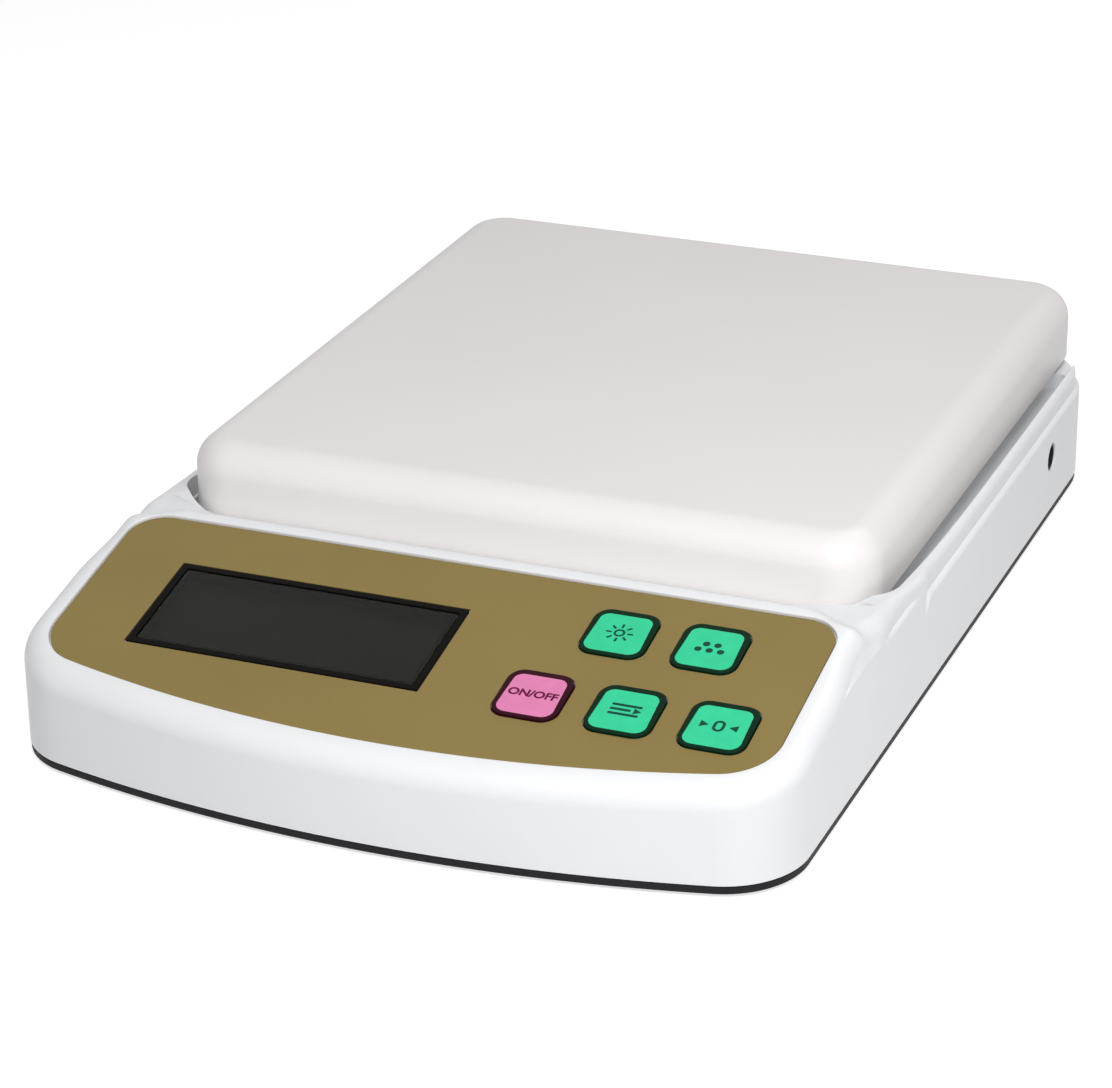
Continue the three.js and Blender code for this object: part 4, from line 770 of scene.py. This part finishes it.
def case_block(skin, roof, low, edge, steps):
    """The case as one block, or the same block thinned by a skin at the sides and a roof on top."""
    def roof_at(y, lead=crest_lead):
        return top_height(y, lead) - roof / math.cos(panel_tilt)

    def fillet_at(y):
        share = eased((y - crest_y + crest_lead) / (ledge_start - crest_y))
        return max(console_fillet + (shoulder_fillet - console_fillet) * share - skin, least_fillet)

    def wall_top_at(y):
        return roof_at(y) - fillet_at(y)

    def crease_at(y):
        return min(crease_height - skin / 2, wall_top_at(y) - crease_to_fillet)

    def ledge_at(y):
        dip = ledge_dip * (1 - ledge_share(y))
        return min(ledge_height - dip - skin / 2, crease_at(y) - ledge_to_crease)

    def wall_inset_at(y, crease=1, lean=1):
        return (skin + ledge_step * ledge_share(y) + crease * crease_step * crease_share(y)
                + lean * corner_lean * lean_share(y))

    rings = [ring(edge, skin, low)]
    for across, up in step_profile:
        rings.append(ring(edge, lambda y: skin + across * ledge_step * ledge_share(y),
                          lambda y: ledge_at(y) + up))
    for across, up in step_profile:
        rings.append(ring(edge, lambda y: wall_inset_at(y, across, lean_at_crease),
                          lambda y: crease_at(y) + up))
    for i in range(steps + 1):
        turn = (math.pi / 2) * i / steps
        rings.append(ring(edge, lambda y: wall_inset_at(y) + fillet_at(y) * (1 - math.cos(turn)),
                          lambda y: wall_top_at(y) + fillet_at(y) * math.sin(turn)))
    for share in [(i + 1) / crest_levels for i in range(crest_levels)]:
        lead = crest_lead * (1 - eased(share))
        rings.append(ring(edge, console_fillet + crest_inset + crest_blend * share,
                          lambda y: roof_at(y, lead)))
    return stack(rings, strips=True)


stations = sorted({start + spacing * i for start, spacing, count in side_runs for i in range(count)})
case_edge = case_outline(stations)
case = case_block(0, 0, case_low, case_edge, 10)

pocket_half = platform_half + pocket_margin
pocket_front, pocket_rear = platform_front - pocket_front_margin, platform_rear + pocket_rear_margin
lip_front = pocket_front - lip_run


def pocket_outline(front, inset=0):
    return round_edge(2 * (pocket_half - inset), pocket_rear - front, pocket_corner, 0,
                      (front + pocket_rear) / 2, corner_steps)


pocket_edge = pocket_outline(pocket_front)
lip_edges = [pocket_outline(lip_front, lip_side_run), pocket_outline(lip_front)]
mouth_edge = []
for a, b in zip(pocket_edge, pocket_edge[1:] + pocket_edge[:1]):
    mouth_edge.append(a)
    if abs(b[1] - a[1]) > side_length:
        mouth_edge += [(a[0], a[1] + (b[1] - a[1]) * i / mouth_steps, a[2], a[3])
                       for i in range(1, mouth_steps)]


def lip_height(y):
    """The slope that leads from behind the crest down to the platform's front edge."""
    return max(lip_low, lip_high + (lip_low - lip_high) * (y - lip_front) / lip_run)


def lip_block(inset, drop):
    return stack([ring(lip_edges[0], inset, lambda y: lip_height(y) - drop),
                  ring(lip_edges[1], inset, lambda y: lip_height(y) + lip_side_rise - drop),
                  ring(lip_edges[1], inset, above_all)], strips=True)


def channels(margin, low, high):
    """The deep channel along each side of the pocket's floor, or the same with a margin all round."""
    middle_x = pocket_half - channel_inset - channel_width / 2
    width, length = channel_width + 2 * margin, channel_rear - channel_front + 2 * margin
    return loose(*[plate(round_edge(width, length, channel_corner + margin, x,
                                    (channel_front + channel_rear) / 2), low, high)
                   for x in (-middle_x, middle_x)])


deck_tool = stack([ring(pocket_edge, -deck_thickness, z) for z in (pocket_floor - deck_thickness, above_all)])
inside = cut(case_block(side_wall, roof_wall, case_low - overrun, case_edge, 4), deck_tool,
             lip_block(-deck_thickness, deck_thickness),
             channels(deck_thickness, channel_floor - deck_thickness, above_all))
case = cut(case, inside)

bosses = rods(radius=3.5, low=tray_floor_top + 4.3, high=24.6, places=screw_places.values())
board_bosses = rods(radius=2.6, low=-7.9, high=-2, places=board_screw_places)
board_bores = rods(radius=1.3, low=-8.5, high=-3, places=board_screw_places)
for shape in (board_bosses, board_bores):
    shape.data.transform(on_panel)
case = cut(joined(case, bosses, board_bosses), board_bores)

flare = [(0, 0)] + [(mouth_radius * (1 - math.cos(a)), mouth_radius * math.sin(a))
                    for a in (math.radians(flare_turn * (i + 1)) for i in range(flare_count))]
flare.append((flare[-1][0] + flare_out, flare[-1][1] + flare_up))
pocket_rings = [ring(mouth_edge, floor_soft, pocket_floor),
                ring(mouth_edge, floor_bevel, pocket_floor + floor_bevel),
                ring(mouth_edge, 0, lambda y: min(pocket_floor + floor_soft,
                                                  top_height(y) - mouth_radius - mouth_gap))]
pocket_rings += [ring(mouth_edge, -out, lambda y: top_height(y) - mouth_radius + up) for out, up in flare]
pocket_rings.append(ring(mouth_edge, -flare[-1][0], above_all))
case = cut(case, stack(pocket_rings), lip_block(inset=0.02, drop=0),
           channels(0, channel_floor, pocket_floor + channel_overlap))
case = cut(case, rods(radius=6.8, low=20, high=30, places=peg_places),
           rods(radius=1.75, low=7, high=16.6, places=screw_places.values()))

sheet_edge = bowed_edge(sheet_half, -sheet_run / math.cos(panel_tilt), 0, sheet_bow, sheet_near_corner,
                        sheet_far_corner)
recess_rings = [ring(sheet_edge, -fit_gap, -recess_depth)]
recess_rings += [ring(sheet_edge, -fit_gap - out, rim_height + up) for out, up in rim_profile]
recess_rings.append(ring(sheet_edge, -fit_gap - rim_profile[-1][0], recess_above))
recess = stack(recess_rings)


def display_plate(margin, low, high, soft=0.0, corner=0.3):
    edge = round_edge(display_width + 2 * margin, display_depth + 2 * margin, corner, display_x, -display_run)
    return plate(edge, low, high, 0, soft)


def key_holes(reach):
    """The openings for all the keys, cut this far above and below the sheet."""
    return loose(*[plate(round_edge(key_width + 2 * fit_gap, key_depth + 2 * fit_gap, key_corner + fit_gap,
                                    *key_places[name]), -reach, reach) for name in key_names])


panel_tools = [recess, display_plate(-hole_inset, -hole_depth, hole_depth, corner=hole_corner), key_holes(5)]
for tool in panel_tools:
    tool.data.transform(on_panel)
socket_hole = round_socket([(3.3, -8), (3.3, -0.3), (3.4, -0.1), (3.6, 0.02), (5.5, 0.4)], case_half, 64)
case = cut(case, *panel_tools, socket_hole)
fitted(case, "case_moulding", "case", white_plastic, "case_white", "upper_case", crease=32)
case.data.materials.append(frame_black)
for face in case.data.polygons:
    x, y, z = on_panel.inverted() @ (face.center / mm)
    dark = (abs(x - display_x) < display_width / 2 - dark_inset
            and abs(y + display_run) < display_depth / 2 - dark_inset
            and -hole_depth < z < dark_top)
    face.material_index = int(dark)

# Console sheet
# A thin gold-brown sheet printed from behind, stuck into the console's recess, with openings for the
# display and the keys.
sheet_thickness, sheet_soft = 0.3, 0.08
through = 2
gold_brown = finish_of("gold_brown", (0.252, 0.185, 0.058), 0.5, metallic=0.35, specular=0.2, mottle=0.05,
                       mottle_size=30, grain=0.004, grain_size=0.25)
sheet = cut(plate(sheet_edge, -sheet_thickness, 0, 0, sheet_soft), display_plate(fit_gap, -through, through),
            key_holes(through))
fitted(sheet, "console_sheet", "case", gold_brown, "overlay_gold", "control_overlay", turn=on_panel)

# Display frame and window
# A near-black frame set into the sheet holds a clear, dark-tinted window over the display's glass, on
# a thin ledge that runs round inside it.
frame_width, frame_low, frame_proud, frame_soft = 1.5, -0.45, 0.1, 0.08
frame_ledge, ledge_margin, ledge_low, ledge_top = 1.2, 0.2, -0.55, -0.4
window_low, window_top, window_soft = -0.3, -0.1, 0.05
window_tint = finish_of("window_tint", (0.27, 0.285, 0.24), 0.1, specular=0.1, mottle=0.05,
                        grain=0.0001, sheen_change=0.01)
set_inputs(window_tint.node_tree.nodes["Principled BSDF"], Transmission_Weight=1, IOR=1.2)
border = cut(display_plate(0, frame_low, frame_proud, frame_soft),
             display_plate(-frame_width, -through, through))
ledge = cut(display_plate(-ledge_margin, ledge_low, ledge_top),
            display_plate(-frame_width - frame_ledge, -through, through))
fitted(joined(border, ledge), "window_frame", "case", frame_black, "frame_black", "display_frame",
       turn=on_panel)
fitted(display_plate(-frame_width - fit_gap, window_low, window_top, window_soft), "tinted_window", "case",
       window_tint, "window_tint", "display_window", turn=on_panel)

# Keys
# Five flat dark caps that stand a little proud of the sheet on wide flanges, their faces printed pink
# or mint green inside a dark border. The power key has words on it and the others have plain signs.
key_top, key_soft, flange_low, flange_top, flange_margin = 0.4, 0.2, -3.4, -2.4, 1.3
stem_low, stem_radius, key_overlap = -3.9, 2, 0.1
key_border, rear_border, face_rise, mark_thickness, mark_sink = 0.95, 1.3, 0.03, 0.025, 0.005
bar_round = 2.1
letter_size, letter_weight, ray_place, ray_length, ray_width = 2.9, 0.035, 2.3, 1.3, 0.5


def printed(name, colour, roughness=0.45, specular=0.05):
    return finish_of(name, colour, roughness, specular=specular, mottle=0.1, mottle_size=1)


def key_face(name, colour):
    return finish_of(name, colour, 0.45, specular=0.25, mottle=0.06, mottle_size=4, grain=0.005)


green_finishes = (printed("border_green", (0.002, 0.02, 0.008)), key_face("mint_green", (0.03, 0.6, 0.3)),
                  printed("mark_green", (0.003, 0.06, 0.035), 0.5, 0.1))
pink_finishes = (printed("border_maroon", (0.03, 0.003, 0.008)), key_face("key_pink", (0.72, 0.215, 0.43)),
                 printed("mark_maroon", (0.13, 0.006, 0.05), 0.5, 0.1))


def round_rim(edge, inset, radius, top, steps):
    """The levels that round a body's upper rim, from its wall to its top."""
    return [ring(edge, inset + radius * (1 - math.cos(a)), top - radius * (1 - math.sin(a)))
            for a in (math.radians(90 / steps * i) for i in range(steps + 1))]


def bar(x, y, width, depth, turn=0.0):
    shape = plate(round_edge(width, depth, min(width, depth) / bar_round, 0, 0, 4), 0, mark_thickness)
    shape.data.transform(Matrix.Translation((x, y, 0)) @ Matrix.Rotation(turn, 4, "Z"))
    return shape


def hoop(x, y, width, depth, line):
    inner_width, inner_depth = width - 2 * line, depth - 2 * line
    hole = round_edge(inner_width, inner_depth, min(inner_width, inner_depth) / bar_round, x, y, 6)
    return cut(bar(x, y, width, depth), plate(hole, -1, 1))


def wedge(x, y, width, depth):
    outline = [(x - width / 2, y - depth / 2), (x + width / 2, y), (x - width / 2, y + depth / 2)]
    return stack([[(px, py, z) for px, py in outline] for z in (0, mark_thickness)])


def words(text):
    """Printed words, from the built-in letters."""
    curve = bpy.data.curves.new("words", "FONT")
    curve.body = text
    curve.size = letter_size
    curve.align_x = "CENTER"
    curve.align_y = "CENTER"
    curve.extrude = mark_thickness / 2
    curve.offset = letter_weight * letter_size
    letters = bpy.data.objects.new("words", curve)
    bpy.context.scene.collection.objects.link(letters)
    bpy.context.view_layer.update()
    mesh = bpy.data.meshes.new_from_object(letters.evaluated_get(bpy.context.evaluated_depsgraph_get()))
    bpy.data.objects.remove(letters)
    shape = bpy.data.objects.new("words", mesh)
    bpy.context.scene.collection.objects.link(shape)
    mesh.transform(Matrix.Translation((0, 0, mark_thickness / 2)))
    return shape


rays = [bar(ray_place * math.cos(a), ray_place * math.sin(a), ray_length, ray_width, a)
        for a in (math.pi * i / 4 for i in range(8))]
marks = {
    "on_off": words("ON/OFF"),
    "mode": loose(bar(0, 1.4, 6.4, 0.7), bar(-1, 0, 4.4, 0.7), bar(0, -1.4, 6.4, 0.7),
                  wedge(2.6, 0, 1.6, 1.8)),
    "tare": loose(hoop(0, 0, 2.4, 3.4, 0.6), wedge(-3, 0, 1.8, 2), wedge(3, 0, -1.8, 2)),
    "light": loose(hoop(0, 0, 2.4, 2.4, 0.5), *rays),
    "count": loose(*[bar(x, y, 1.5, 1.5)
                     for x, y in ((-2.4, -0.9), (0, -0.9), (2.4, -0.9), (-1.2, 1), (1.2, 1))]),
}
for name in key_names:
    x, y = key_places[name]
    border, face_finish, mark_finish = pink_finishes if name == "on_off" else green_finishes
    slot = "key_pink" if name == "on_off" else "key_green"
    edge = round_edge(key_width, key_depth, key_corner, x, y, 10)
    rings = [ring(edge, 0, flange_top - key_overlap), *round_rim(edge, 0, key_soft, key_top, steps=4)]
    rings.append(ring(edge, lambda at: key_border + rear_border * max(at - y, 0) / key_depth,
                      key_top + face_rise))
    flange = plate(round_edge(key_width + 2 * flange_margin, key_depth + 2 * flange_margin, key_corner, x, y),
                   flange_low, flange_top)
    stem = rod(stem_radius, stem_low, flange_low + key_overlap, x, y, 32)
    cap = joined(stack(rings), flange, stem)
    face_heights = [face.center.z for face in cap.data.polygons]
    cap = fitted(cap, "cap_" + name, name + "_key", border, slot, "key_" + name, turn=on_panel)
    cap.data.materials.append(face_finish)
    for face, height in zip(cap.data.polygons, face_heights):
        face.material_index = int(height > key_top + face_rise * 0.9)
    mark = marks[name]
    mark.data.transform(Matrix.Translation((x, y, key_top + face_rise - mark_sink)))
    fitted(mark, "mark_" + name, name + "_key", mark_finish, slot, turn=on_panel)

# Weighing platform
# A white moulded plate with a flat top, full round edges and a plain skirt. Underneath it has ribs
# and four hollow pegs that stand on the spreader's posts, and it lifts off without tools.
platform_top, platform_fillet, platform_wall = 44.6, 7, 2.2
skirt_low, skirt_profile = 27.9, ((0.4, 0), (0.1, 0.1), (0, 0.4))
rib_x, rib_y, rib_depth, rib_half, rib_overlap = 25.2, 27, 5, 0.9, 0.05
peg_low, peg_radius, peg_bore, peg_bore_depth, peg_overlap = tray_low + 21.5, 5, 2.6, 8, 0.3
platform_white = finish_of("platform_white", (0.82, 0.79, 0.78), 0.42, mottle=0.015, mottle_size=50,
                           grain=0.006, grain_size=0.4)
platform_edge = round_edge(2 * platform_half, platform_rear - platform_front, platform_corner, 0,
                           platform_middle, corner_steps)
ceiling = platform_top - platform_wall
outer_rings = [ring(platform_edge, inset, skirt_low + up) for inset, up in skirt_profile]
outer_rings += round_rim(platform_edge, 0, platform_fillet, platform_top, steps=12)
inner_rings = [ring(platform_edge, platform_wall, skirt_low - overrun)]
inner_rings += round_rim(platform_edge, platform_wall, platform_fillet - platform_wall, ceiling, steps=6)
platform = cut(stack(outer_rings), stack(inner_rings))
inner_half_x, inner_half_y = platform_half - platform_wall, platform_middle - platform_front - platform_wall
ribs = [box(x, platform_middle, rib_half, inner_half_y, ceiling - rib_depth, ceiling + rib_overlap)
        for x in (-rib_x, rib_x)]
ribs += [box(0, y, inner_half_x, rib_half, ceiling - rib_depth, ceiling + rib_overlap)
         for y in (platform_middle - rib_y, platform_middle + rib_y)]
pegs = rods(peg_radius, peg_low, ceiling + peg_overlap, peg_places)
bores = rods(peg_bore, peg_low - overrun, peg_low + peg_bore_depth, peg_places, 32)
fitted(cut(joined(platform, *ribs, pegs), bores), "platform_moulding", "platform", platform_white,
       "platform_white", "weighing_platform")
